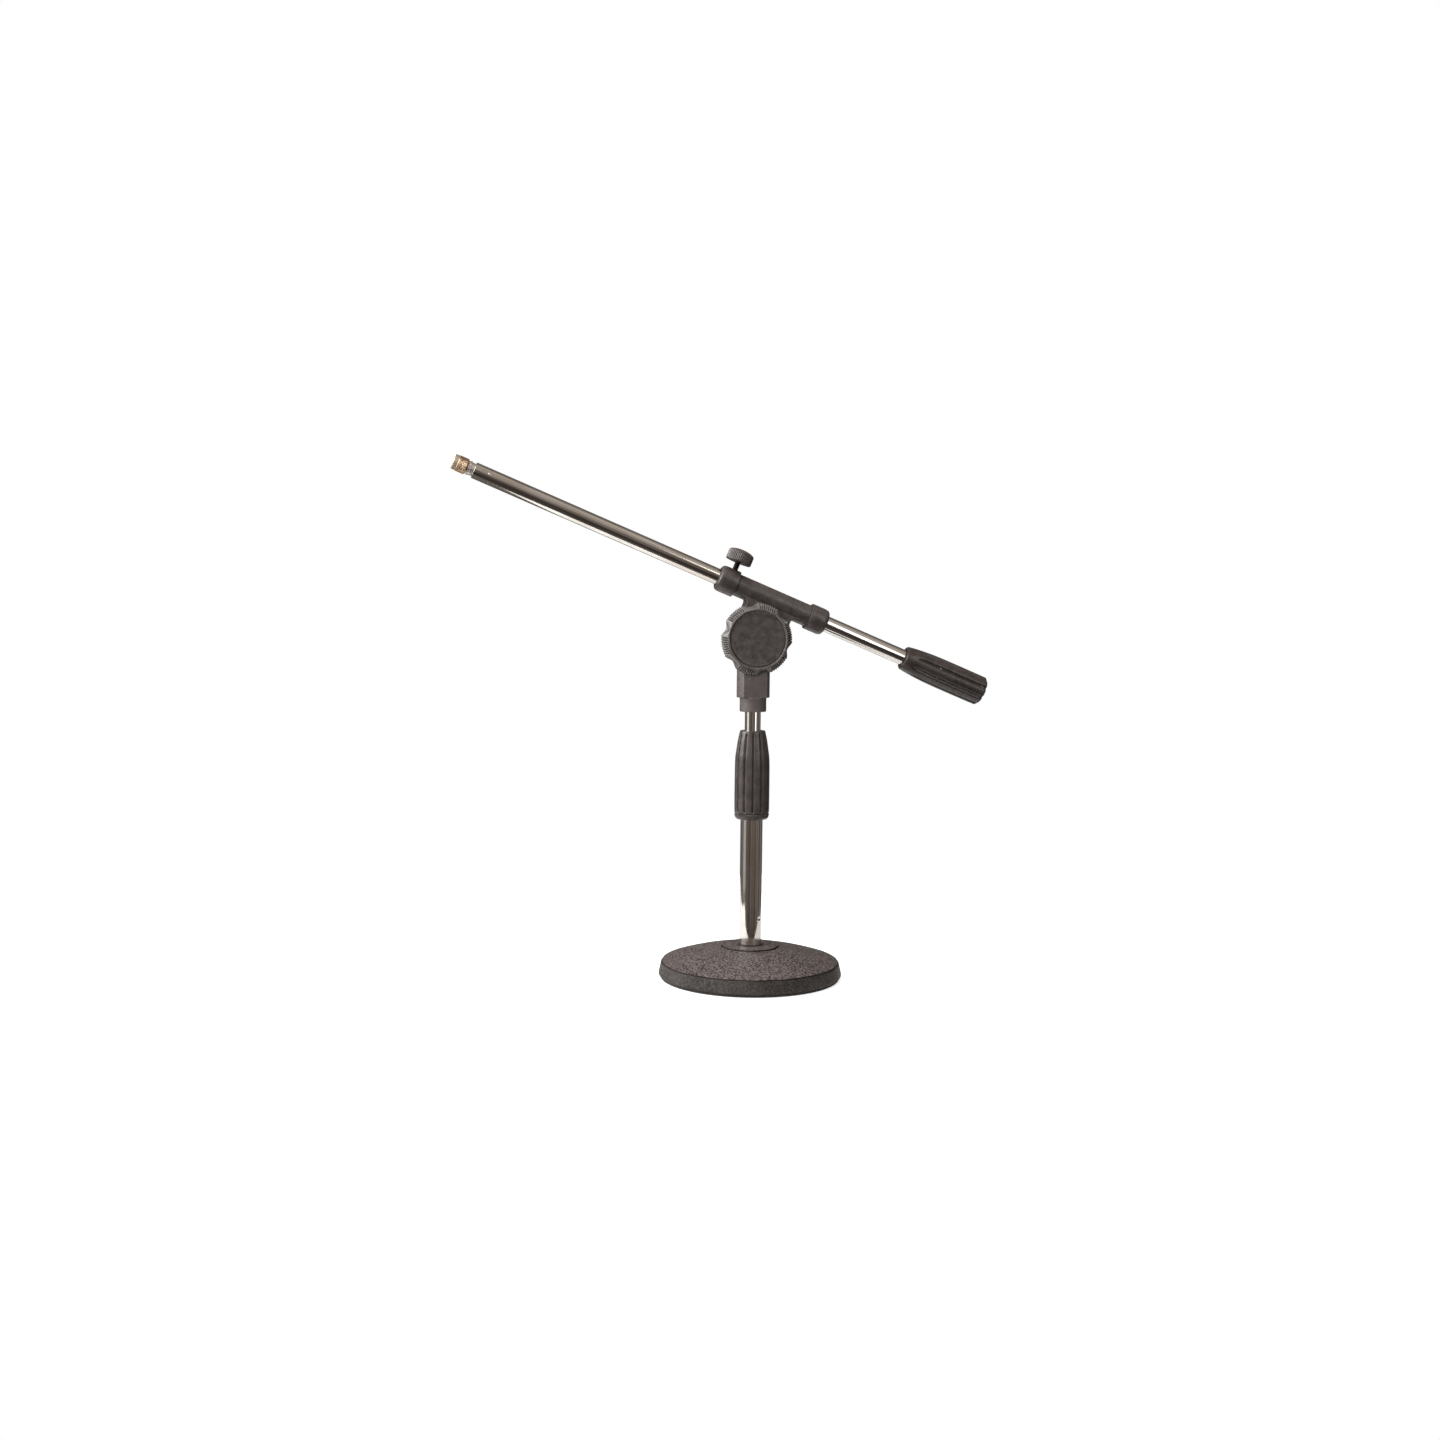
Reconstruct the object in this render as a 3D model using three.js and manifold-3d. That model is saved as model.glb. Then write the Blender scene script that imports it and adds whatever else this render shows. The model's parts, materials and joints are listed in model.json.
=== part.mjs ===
// Table-top boom microphone stand: a round cast-iron base, a telescopic column with a
// twist clutch, a friction hinge with a lobed hand knob, and a boom tube held by a thumb
// screw, with a threaded tip at one end and a counterweight at the other.
//
// Millimetres, +Z up. The origin is on the floor, on the column's axis. The boom lies in
// the XZ plane, tip towards -X and up, counterweight towards +X. The hinge knob faces -Y.

import * as THREE from 'three';
import { mergeVertices } from 'three/addons/utils/BufferGeometryUtils.js';
import Module from 'manifold-3d';

const wasm = await Module();
wasm.setup();

// ---------------------------------------------------------------- driving dimensions

const GAP = 0.3; // between pieces that touch on the real stand
const SNUG = 0.2; // between pieces pressed or screwed into each other
const PAST = 1; // how far a cutter runs past the surface it cuts
const QUARTER_TURN = Math.PI / 2;

// Base
const BASE_RADIUS = 92;
const BASE_EDGE_RADIUS = 89.2; // where the side meets the top
const BASE_EDGE_HEIGHT = 16.7;
const BASE_DOME_HEIGHT = 31; // where the top meets the boss
const BOSS_RADIUS = 28;
const BOSS_HEIGHT = 32.6;
const PAD_RADIUS = 89.8;
const PAD_THICKNESS = 2.2;
const SEAT_DEPTH = 1.2; // of the washer's seat in the boss
const BOSS_ROUND = 1;
const NUT_POCKET_RADIUS = 16;
const NUT_POCKET_HEIGHT = 14;
const STUD_RADIUS = 5; // M10
const FOOT_WASHER_RADIUS = 12.5;

// Tubes: 7/8 inch column, 5/8 inch inner tube and boom
const COLUMN_RADIUS = 11.1;
const ROD_RADIUS = 7.95;
const TUBE_WALL = 1.2;
const COLUMN_FOOT = 33.2;
const COLUMN_TOP = 184;
const DIMPLE_HEIGHT = 60;
const ROD_FOOT = 86;
const ROD_TOP = 289;

// Clutch
const CLUTCH_FOOT = 160;
const CLUTCH_TOP = 248.5;
const CLUTCH_RADIUS = 17.5;
const CLUTCH_LOBES = 12;

// Hinge
const PIVOT_HEIGHT = 339.7;
const SOCKET_FOOT = 267.5;
const SOCKET_NECK_RADIUS = 13.25;
const SOCKET_SHOULDER = 281.5;
const SOCKET_RADIUS = 16.45;
const CHEEK_RADIUS = 24; // the two round faces that clamp together
const CHEEK_FACE = 0.9; // from the hinge's middle plane to each cheek
const CHEEK_BACK = 10.5;
const SOCKET_BACK = 12;
const SOCKET_FRONT = 11.6;
const SWING_RADIUS = 25.2; // clear of the other cheek
const BOLT_RADIUS = 4; // M8
const BOLT_BORE = 4.3;

// Hinge knob, measured from the pivot's middle plane towards the front
const KNOB_BACK = 12.6;
const KNOB_SHOULDER = 14.5;
const KNOB_FACE = 20.5;
const KNOB_RADIUS = 36;
const KNOB_FACE_RADIUS = 31;
const KNOB_LOBES = 6;
const KNOB_CAP_RADIUS = 27.3;
const KNOB_FIRST_LOBE = THREE.MathUtils.degToRad(12);

// Boom, along its own axis from the point nearest the pivot, rear end positive
const BOOM_ANGLE = THREE.MathUtils.degToRad(22.35);
const BOOM_OFFSET = 42.4; // pivot to boom axis
const BARREL_RADIUS = 11;
const COLLAR_RADIUS = 13.25;
const FRONT_COLLAR = [-57.5, -38];
const REAR_COLLAR = [42, 61.5];
const COLLAR_WALL = 3.2;
const BUSH = [25, 57.4];
const NECK_MIDDLE = 1.7;
const NECK_WIDTH = 48;
const BOOM_TIP = -314.7;
const BOOM_REAR = 236;
const ADAPTER_FACE = -335.5;
const ADAPTER_BACK = -321.1;
const THREAD_RADIUS = 7.95; // 5/8 inch, 27 threads per inch
const TIP_STUD_RADIUS = 4.7; // 3/8 inch
const STAKE_PLACE = -299.7;
const WEIGHT_FRONT = 150.3;
const WEIGHT_REAR = 241;
const WEIGHT_LOBES = 8;

// Thumb screw, along the boom's upward normal from the boom axis
const SCREW_PLACE = -44.3;
const SCREW_RADIUS = 3; // M6
const SCREW_BORE = 3.2;
const SCREW_HEAD_FOOT = 20.9;
const SCREW_HEAD_SIDE = 31.2;
const SCREW_HEAD_TOP = 34;
const SCREW_HEAD_RADIUS = 13;

// Facets round each kind of surface
const BASE_FACETS = 64;
const ROUND_FACETS = 32;
const SMALL_FACETS = 20;

// ---------------------------------------------------------------- materials

function finish(colour, roughness, metalness) {
  return new THREE.MeshStandardMaterial({ color: colour, roughness, metalness });
}

const CAST_IRON = finish(0x5f5852, 0.65, 0.35);
const RUBBER = finish(0x1d1b1a, 0.9, 0);
const CHROME = finish(0xc9c7c4, 0.12, 1);
const STEEL = finish(0x8d8a86, 0.4, 1);
const BLACK_STEEL = finish(0x2a2725, 0.5, 0.8);
const BRASS = finish(0xa8874e, 0.35, 1);
const BLACK_PLASTIC = finish(0x332e2c, 0.55, 0);
const GREY_PLASTIC = finish(0x6b6863, 0.6, 0);

// ---------------------------------------------------------------- shape tools

// One closed body with shared corners, its faces pointing outwards.
function closed(geometry) {
  const bare = geometry.clone();
  bare.deleteAttribute('normal');
  bare.deleteAttribute('uv');
  const merged = mergeVertices(bare);
  const position = merged.getAttribute('position');
  const corners = merged.index.array;
  const kept = [];
  let volume = 0;
  const [a, b, c] = [new THREE.Vector3(), new THREE.Vector3(), new THREE.Vector3()];
  for (let i = 0; i < corners.length; i += 3) {
    const [p, q, r] = corners.slice(i, i + 3);
    if (p === q || q === r || r === p) continue;
    kept.push(p, q, r);
    a.fromBufferAttribute(position, p);
    b.fromBufferAttribute(position, q);
    c.fromBufferAttribute(position, r);
    volume += a.dot(b.cross(c));
  }
  merged.setIndex(volume < 0 ? kept.reverse() : kept);
  return merged;
}

function toSolid(geometry) {
  const shape = closed(geometry);
  return new wasm.Manifold(new wasm.Mesh({
    numProp: 3,
    vertProperties: new Float32Array(shape.getAttribute('position').array),
    triVerts: new Uint32Array(shape.index.array),
  }));
}

function toGeometry(solid) {
  const mesh = solid.getMesh();
  const geometry = new THREE.BufferGeometry();
  geometry.setAttribute('position', new THREE.BufferAttribute(mesh.vertProperties, 3));
  geometry.setIndex(new THREE.BufferAttribute(mesh.triVerts, 1));
  return geometry;
}

function join(...geometries) {
  return toGeometry(geometries.map(toSolid).reduce((whole, next) => whole.add(next)));
}

function cut(geometry, ...tools) {
  return toGeometry(tools.map(toSolid).reduce((whole, tool) => whole.subtract(tool), toSolid(geometry)));
}

function common(geometry, other) {
  return toGeometry(toSolid(geometry).intersect(toSolid(other)));
}

// A profile of [radius, height] points turned about +Z.
function turned(profile, facets = ROUND_FACETS) {
  const points = profile.map(([radius, height]) => new THREE.Vector2(radius, height));
  return closed(new THREE.LatheGeometry(points, facets).rotateX(QUARTER_TURN));
}

function disc(radius, low, high, facets = ROUND_FACETS) {
  return turned([[0, low], [radius, low], [radius, high], [0, high]], facets);
}

function ring(inner, outer, low, high, facets = ROUND_FACETS) {
  return turned([[inner, low], [outer, low], [outer, high], [inner, high], [inner, low]], facets);
}

// Points along a quarter of an ellipse that starts upright at `start` and ends flat at `end`.
function corner(start, end, steps = 4) {
  const points = [];
  for (let i = 0; i <= steps; i += 1) {
    const angle = (QUARTER_TURN * i) / steps;
    points.push([
      end[0] + (start[0] - end[0]) * Math.cos(angle),
      start[1] + (end[1] - start[1]) * Math.sin(angle),
    ]);
  }
  return points;
}

// An outline with smooth hollows between its lobes. `share` is the lobes' part of the turn.
function lobed(radius, depth, lobes, share, first, stepsPerLobe) {
  const points = [];
  const total = lobes * stepsPerLobe;
  for (let i = 0; i < total; i += 1) {
    const angle = first + (2 * Math.PI * i) / total;
    const phase = (i % stepsPerLobe) / stepsPerLobe; // 0 on the lobe's middle
    const fromHollow = Math.abs(phase - 0.5) / (0.5 * (1 - share));
    const hollow = fromHollow < 1 ? Math.cos(QUARTER_TURN * fromHollow) ** 2 : 0;
    const reach = radius - depth * hollow;
    points.push(new THREE.Vector2(reach * Math.cos(angle), reach * Math.sin(angle)));
  }
  return new THREE.Shape(points);
}

function raised(shape, low, high) {
  const flat = { depth: high - low, bevelEnabled: false, steps: 1 };
  return new THREE.ExtrudeGeometry(shape, flat).translate(0, 0, low);
}

// A hexagonal bar, `across` wide between two opposite flats.
function hexagon(across, low, high) {
  const sides = 6;
  const geometry = new THREE.CylinderGeometry(
    across / Math.sqrt(3),
    across / Math.sqrt(3),
    high - low,
    sides,
  );
  return geometry.rotateX(QUARTER_TURN).translate(0, 0, (low + high) / 2);
}

function along(geometry, axis) {
  const shape = geometry.clone();
  if (axis === 'x') shape.rotateY(QUARTER_TURN);
  if (axis === '-y') shape.rotateX(QUARTER_TURN);
  return shape;
}

const stand = new THREE.Group();

function piece(parent, name, geometry, material) {
  const mesh = new THREE.Mesh(closed(geometry), material);
  mesh.name = name;
  parent.add(mesh);
}

// ---------------------------------------------------------------- base

const DOME_STEPS = 4;
const EDGE_ROUND = 1.2;
const DOME_RISE = 1.6; // how far the top bulges above a straight cone

function basePlate() {
  const dome = [];
  for (let i = 1; i <= DOME_STEPS; i += 1) {
    const share = i / DOME_STEPS;
    dome.push([
      THREE.MathUtils.lerp(BASE_EDGE_RADIUS - EDGE_ROUND, BOSS_RADIUS + GAP, share),
      THREE.MathUtils.lerp(BASE_EDGE_HEIGHT, BASE_DOME_HEIGHT, share)
        + DOME_RISE * Math.sin(Math.PI * share),
    ]);
  }
  const foot = PAD_THICKNESS + GAP;
  const recess = BOSS_HEIGHT - SEAT_DEPTH;
  const recessRadius = FOOT_WASHER_RADIUS + GAP;
  return turned([
    [STUD_RADIUS + GAP, NUT_POCKET_HEIGHT],
    [NUT_POCKET_RADIUS, NUT_POCKET_HEIGHT],
    [NUT_POCKET_RADIUS, foot],
    [BASE_RADIUS - EDGE_ROUND, foot],
    [BASE_RADIUS, foot + EDGE_ROUND],
    ...corner(
      [BASE_EDGE_RADIUS, BASE_EDGE_HEIGHT - EDGE_ROUND],
      [BASE_EDGE_RADIUS - EDGE_ROUND, BASE_EDGE_HEIGHT],
      3,
    ),
    ...dome,
    ...corner([BOSS_RADIUS, BOSS_HEIGHT - BOSS_ROUND], [BOSS_RADIUS - BOSS_ROUND, BOSS_HEIGHT], 2),
    [recessRadius, BOSS_HEIGHT],
    [recessRadius, recess],
    [STUD_RADIUS + GAP, recess],
    [STUD_RADIUS + GAP, NUT_POCKET_HEIGHT],
  ], BASE_FACETS);
}

const LOCK_WASHER_ROOM = 2.2;
const LOCK_WASHER_RADIUS = 10;
const NUT_HEIGHT = 7.8;
const NUT_HIGH = NUT_POCKET_HEIGHT - LOCK_WASHER_ROOM;
const NUT_LOW = NUT_HIGH - NUT_HEIGHT;
const NUT_ACROSS = 16.8;
const STUD_FOOT = PAD_THICKNESS + 1;
const STUD_CHAMFER = 0.8;
const PLUG_TOP = 66;
const PLUG_CHAMFER = 1;

function footPlug() {
  const plugRadius = COLUMN_RADIUS - TUBE_WALL - SNUG;
  const shape = turned([
    [0, STUD_FOOT],
    [STUD_RADIUS - STUD_CHAMFER, STUD_FOOT],
    [STUD_RADIUS, STUD_FOOT + STUD_CHAMFER],
    [STUD_RADIUS, COLUMN_FOOT + GAP],
    [plugRadius, COLUMN_FOOT + GAP],
    [plugRadius, PLUG_TOP - PLUG_CHAMFER],
    [plugRadius - PLUG_CHAMFER, PLUG_TOP],
    [0, PLUG_TOP],
  ], SMALL_FACETS);
  return cut(shape, dimple(plugRadius + SNUG));
}

// The stake mark's cutter: a ball sunk into the tube's front.
function dimple(surface) {
  const ball = 3;
  const facing = THREE.MathUtils.degToRad(-49.5);
  const depth = 1;
  const reach = surface + ball - depth;
  return new THREE.SphereGeometry(ball, 10, 8)
    .translate(reach * Math.cos(facing), reach * Math.sin(facing), DIMPLE_HEIGHT);
}

piece(stand, 'base_plate', basePlate(), CAST_IRON);
piece(stand, 'base_pad', disc(PAD_RADIUS, 0, PAD_THICKNESS, BASE_FACETS), RUBBER);
piece(stand, 'foot_washer', ring(
  STUD_RADIUS + GAP,
  FOOT_WASHER_RADIUS,
  BOSS_HEIGHT - SEAT_DEPTH + GAP,
  COLUMN_FOOT - GAP,
), RUBBER);
piece(stand, 'foot_plug', footPlug(), STEEL);
piece(stand, 'foot_lock_washer', ring(
  STUD_RADIUS + GAP,
  LOCK_WASHER_RADIUS,
  NUT_HIGH + GAP,
  NUT_POCKET_HEIGHT - GAP,
  SMALL_FACETS,
), STEEL);
piece(stand, 'foot_lock_nut', cut(
  hexagon(NUT_ACROSS, NUT_LOW, NUT_HIGH),
  disc(STUD_RADIUS + GAP, NUT_LOW - PAST, NUT_HIGH + PAST, SMALL_FACETS),
), STEEL);

// ---------------------------------------------------------------- column and clutch

function outerTube() {
  const inner = COLUMN_RADIUS - TUBE_WALL;
  const shape = ring(inner, COLUMN_RADIUS, COLUMN_FOOT, COLUMN_TOP);
  const shallow = 0.3; // the mark is less deep in the tube than in the plug behind it
  return cut(shape, dimple(COLUMN_RADIUS + shallow));
}

const FERRULE_RADIUS = 13;
const FERRULE_TOP = 212;
const COLLET_FOOT = 186;
const COLLET_TOP = 226;
const COLLET_RADIUS = 10;
const COLLET_HEAD_RADIUS = 12.2;
const COLLET_CONE = 1.6; // height of the cone under the collet's head
const COLLET_HEAD_TOP = FERRULE_TOP + 4;
const COLLET_SLIT = 1.6;
const ROD_CLEARANCE = 8.15;
const FERRULE_INSET = 2; // from the grip's foot to the ferrule's

function clutchFerrule() {
  const foot = CLUTCH_FOOT + FERRULE_INSET;
  const tubeBore = COLUMN_RADIUS + SNUG;
  const colletBore = COLLET_RADIUS + GAP;
  const mouth = COLLET_HEAD_RADIUS - 0.8;
  const mouthDepth = 3;
  return turned([
    [tubeBore, foot],
    [FERRULE_RADIUS, foot],
    [FERRULE_RADIUS, FERRULE_TOP],
    [mouth, FERRULE_TOP],
    [colletBore, FERRULE_TOP - mouthDepth],
    [colletBore, COLUMN_TOP + GAP],
    [tubeBore, COLUMN_TOP + GAP],
    [tubeBore, foot],
  ]);
}

function clutchCollet() {
  const taper = 0.6;
  const shape = turned([
    [ROD_CLEARANCE, COLLET_FOOT],
    [COLLET_RADIUS, COLLET_FOOT],
    [COLLET_RADIUS, FERRULE_TOP - taper],
    [COLLET_HEAD_RADIUS, FERRULE_TOP + COLLET_CONE],
    [COLLET_HEAD_RADIUS, COLLET_HEAD_TOP],
    [COLLET_RADIUS - taper, COLLET_TOP],
    [ROD_CLEARANCE, COLLET_TOP],
    [ROD_CLEARANCE, COLLET_FOOT],
  ]);
  const [reach, tall] = [20, 60]; // past the collet's outside and both its ends
  const slit = new THREE.BoxGeometry(reach, COLLET_SLIT, tall)
    .translate(reach / 2, 0, COLLET_TOP - tall / 3);
  return cut(shape, slit);
}

const GRIP_PLAY = 0.4;
const THROAT_PLAY = 0.45;
const CLUTCH_STEPS = 3; // facets for each flute

function clutchGrip() {
  const bore = FERRULE_RADIUS + GRIP_PLAY;
  const throat = ROD_RADIUS + THROAT_PLAY;
  const body = turned([
    [bore, CLUTCH_FOOT],
    [15.1, CLUTCH_FOOT],
    [15.2, CLUTCH_FOOT + 0.1],
    [16.6, 162],
    [17.4, 166],
    [CLUTCH_RADIUS, 190],
    [17.3, 217],
    [16.1, 229],
    [14.6, 239],
    [12.6, CLUTCH_TOP],
    [throat, CLUTCH_TOP],
    [throat, COLLET_TOP + 4],
    [COLLET_RADIUS, COLLET_TOP + 1],
    [bore, FERRULE_TOP + 5],
    [bore, CLUTCH_FOOT],
  ], CLUTCH_LOBES * CLUTCH_STEPS);
  const fluteDepth = 0.9;
  const fluteFoot = 167;
  const ridgeShare = 0.6;
  const outline = lobed(
    CLUTCH_RADIUS + 0.2,
    fluteDepth,
    CLUTCH_LOBES,
    ridgeShare,
    0,
    2 * CLUTCH_STEPS,
  );
  const flutes = join(
    raised(outline, fluteFoot, CLUTCH_TOP + PAST),
    disc(CLUTCH_RADIUS + PAST, CLUTCH_FOOT - PAST, fluteFoot),
  );
  return common(body, flutes);
}

const GLIDE_FOOT = 84;
const GLIDE_TOP = 102;
const GLIDE_BORE = 5;

function glideBush() {
  const outer = COLUMN_RADIUS - TUBE_WALL - 0.15;
  const chamfer = 0.6;
  return turned([
    [GLIDE_BORE, GLIDE_FOOT],
    [outer - chamfer, GLIDE_FOOT],
    [outer, GLIDE_FOOT + chamfer],
    [outer, GLIDE_TOP],
    [ROD_CLEARANCE, GLIDE_TOP],
    [ROD_CLEARANCE, ROD_FOOT - GAP],
    [GLIDE_BORE, ROD_FOOT - GAP],
    [GLIDE_BORE, GLIDE_FOOT],
  ], SMALL_FACETS);
}

piece(stand, 'outer_tube', outerTube(), CHROME);
piece(stand, 'clutch_ferrule', clutchFerrule(), STEEL);
piece(stand, 'clutch_collet', clutchCollet(), GREY_PLASTIC);
piece(stand, 'clutch_grip', clutchGrip(), BLACK_PLASTIC);
piece(stand, 'glide_bush', glideBush(), GREY_PLASTIC);
piece(stand, 'inner_tube', ring(ROD_RADIUS - TUBE_WALL, ROD_RADIUS, ROD_FOOT, ROD_TOP), CHROME);

// ---------------------------------------------------------------- hinge socket on the column

const TOP_STUD_END = 305;
const PLUG_FOOT = 270;

function topPlug() {
  const plugRadius = ROD_RADIUS - TUBE_WALL - SNUG;
  return turned([
    [0, PLUG_FOOT],
    [plugRadius, PLUG_FOOT],
    [plugRadius, ROD_TOP],
    [STUD_RADIUS, ROD_TOP],
    [STUD_RADIUS, TOP_STUD_END],
    [0, TOP_STUD_END],
  ], SMALL_FACETS);
}

const HEAD_ACROSS = 13;
const HEAD_FRONT = 6.9; // the bolt's head sits in the socket's back
const HEAD_BACK = 12.4;
const HEX_PLAY = 0.7; // across the flats of a hexagon's pocket
const NECK_ROUND = 1.5;
const SHOULDER_ROUND = 1;

// Drawn with the pivot at the origin.
function hingeSocket() {
  const shoulder = SOCKET_SHOULDER - PIVOT_HEIGHT;
  const foot = SOCKET_FOOT - PIVOT_HEIGHT;
  const post = turned([
    [0, foot],
    [SOCKET_NECK_RADIUS - NECK_ROUND, foot],
    [SOCKET_NECK_RADIUS, foot + NECK_ROUND],
    [SOCKET_NECK_RADIUS, shoulder],
    [SOCKET_RADIUS - SHOULDER_ROUND, shoulder],
    [SOCKET_RADIUS, shoulder + SHOULDER_ROUND],
    [SOCKET_RADIUS, 0],
    [0, 0],
  ]);
  const cheek = along(disc(CHEEK_RADIUS, -SOCKET_BACK, -CHEEK_FACE), '-y');
  const side = 60;
  const swing = new THREE.BoxGeometry(side, side, side)
    .translate(0, CHEEK_FACE - side / 2, side / 2 - SWING_RADIUS);
  const flat = new THREE.BoxGeometry(side, side, 2 * side).translate(0, 0, shoulder + side);
  const frontFlat = flat.clone().translate(0, -SOCKET_FRONT - side / 2, 0);
  const backFlat = flat.clone().translate(0, SOCKET_BACK + side / 2, 0);
  const tubeTop = ROD_TOP - PIVOT_HEIGHT + GAP;
  const studTop = TOP_STUD_END - PIVOT_HEIGHT + GAP;
  return cut(
    join(cut(post, swing, frontFlat, backFlat), cheek),
    disc(ROD_RADIUS + SNUG, foot - PAST, tubeTop),
    disc(STUD_RADIUS + SNUG, foot, studTop, SMALL_FACETS),
    along(disc(BOLT_BORE, -SOCKET_BACK - PAST, PAST, SMALL_FACETS), '-y'),
    along(hexagon(HEAD_ACROSS + HEX_PLAY, -SOCKET_BACK - PAST, GAP - HEAD_FRONT), '-y'),
  );
}

const BOLT_END = 17.6;
const KNOB_WASHER_RADIUS = 10.5;
const FRICTION_INSET = 1.5; // from the cheeks' rim to the friction disc's

function hingeBolt() {
  return join(
    disc(BOLT_RADIUS, -HEAD_FRONT - PAST, BOLT_END, SMALL_FACETS),
    hexagon(HEAD_ACROSS, -HEAD_BACK, -HEAD_FRONT),
  );
}

piece(stand, 'top_plug', topPlug(), STEEL);

const pivot = new THREE.Group();
pivot.position.z = PIVOT_HEIGHT;
stand.add(pivot);
piece(pivot, 'hinge_socket', hingeSocket(), BLACK_PLASTIC);

// Inside this group +Z runs along the hinge's axis to the front.
const hinge = new THREE.Group();
hinge.rotation.x = QUARTER_TURN;
pivot.add(hinge);
piece(hinge, 'hinge_bolt', hingeBolt(), STEEL);
piece(hinge, 'friction_disc', ring(
  BOLT_BORE,
  CHEEK_RADIUS - FRICTION_INSET,
  GAP - CHEEK_FACE,
  CHEEK_FACE - GAP,
), GREY_PLASTIC);
piece(hinge, 'knob_washer', ring(
  BOLT_BORE,
  KNOB_WASHER_RADIUS,
  CHEEK_BACK + GAP,
  KNOB_BACK - GAP,
  SMALL_FACETS,
), STEEL);

// ---------------------------------------------------------------- hinge knob

const CAP_POCKET = 18.2; // depth of the pocket's floor, from the hinge's middle plane
const CAP_FACE = 19.6;
const INSERT_ACROSS = 15;
const INSERT_BACK = KNOB_BACK + 1.5;
const INSERT_FRONT = 17.9;
const KNOB_EDGE = 0.8; // rounding of the knob's rear edge
const FACE_EDGE = 0.4; // rounding of the knob's and the cap's front edges
const KNOB_HOLLOW = 3.4; // depth between two lobes
const KNOB_LOBE_SHARE = 0.48;

function hingeKnob() {
  const coned = turned([
    [0, KNOB_BACK],
    [KNOB_RADIUS - KNOB_EDGE, KNOB_BACK],
    [KNOB_RADIUS, KNOB_BACK + KNOB_EDGE],
    [KNOB_RADIUS, KNOB_SHOULDER],
    [KNOB_FACE_RADIUS + FACE_EDGE, KNOB_FACE - 0.5],
    [KNOB_FACE_RADIUS - FACE_EDGE, KNOB_FACE],
    [0, KNOB_FACE],
  ], KNOB_LOBES * 8);
  const outline = lobed(
    KNOB_RADIUS + 0.1,
    KNOB_HOLLOW,
    KNOB_LOBES,
    KNOB_LOBE_SHARE,
    KNOB_FIRST_LOBE,
    12,
  );
  return cut(
    common(coned, raised(outline, KNOB_BACK - PAST, KNOB_FACE + PAST)),
    disc(KNOB_CAP_RADIUS + GAP, CAP_POCKET, KNOB_FACE + PAST),
    hexagon(INSERT_ACROSS + HEX_PLAY, INSERT_BACK - GAP, CAP_POCKET + PAST),
    disc(BOLT_BORE + 0.4, KNOB_BACK - PAST, CAP_POCKET, SMALL_FACETS),
  );
}

piece(hinge, 'hinge_knob', hingeKnob(), BLACK_PLASTIC);
piece(hinge, 'knob_insert', cut(
  hexagon(INSERT_ACROSS, INSERT_BACK, INSERT_FRONT),
  disc(BOLT_RADIUS + SNUG, KNOB_BACK, INSERT_FRONT + PAST, SMALL_FACETS),
), BRASS);
piece(hinge, 'knob_cap', turned([
  [0, CAP_POCKET + GAP],
  [KNOB_CAP_RADIUS, CAP_POCKET + GAP],
  [KNOB_CAP_RADIUS, CAP_FACE - FACE_EDGE],
  [KNOB_CAP_RADIUS - FACE_EDGE, CAP_FACE],
  [0, CAP_FACE],
]), BLACK_PLASTIC);

// ---------------------------------------------------------------- boom clamp

// Inside this group +X runs along the boom to the rear and +Z is the boom's upward normal.
const tilted = new THREE.Group();
tilted.rotation.y = BOOM_ANGLE;
pivot.add(tilted);

// The side view of the neck between the round cheek and the barrel.
function neckOutline() {
  const half = NECK_WIDTH / 2;
  const fillet = 7;
  const top = BOOM_OFFSET - fillet; // inside the barrel
  const filletFoot = top - fillet;
  const shape = new THREE.Shape();
  shape.moveTo(NECK_MIDDLE - half, 0);
  shape.lineTo(NECK_MIDDLE + half, 0);
  shape.lineTo(NECK_MIDDLE + half, filletFoot);
  shape.absarc(NECK_MIDDLE + half + fillet, filletFoot, fillet, Math.PI, QUARTER_TURN, true);
  shape.lineTo(NECK_MIDDLE - half - fillet, top);
  shape.absarc(NECK_MIDDLE - half - fillet, filletFoot, fillet, QUARTER_TURN, 0, true);
  shape.closePath();
  return shape;
}

const THICK_NECK_FOOT = 20;
const BOOM_BORE = ROD_CLEARANCE + 0.15;
const BUSH_RADIUS = 9.4;

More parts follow.
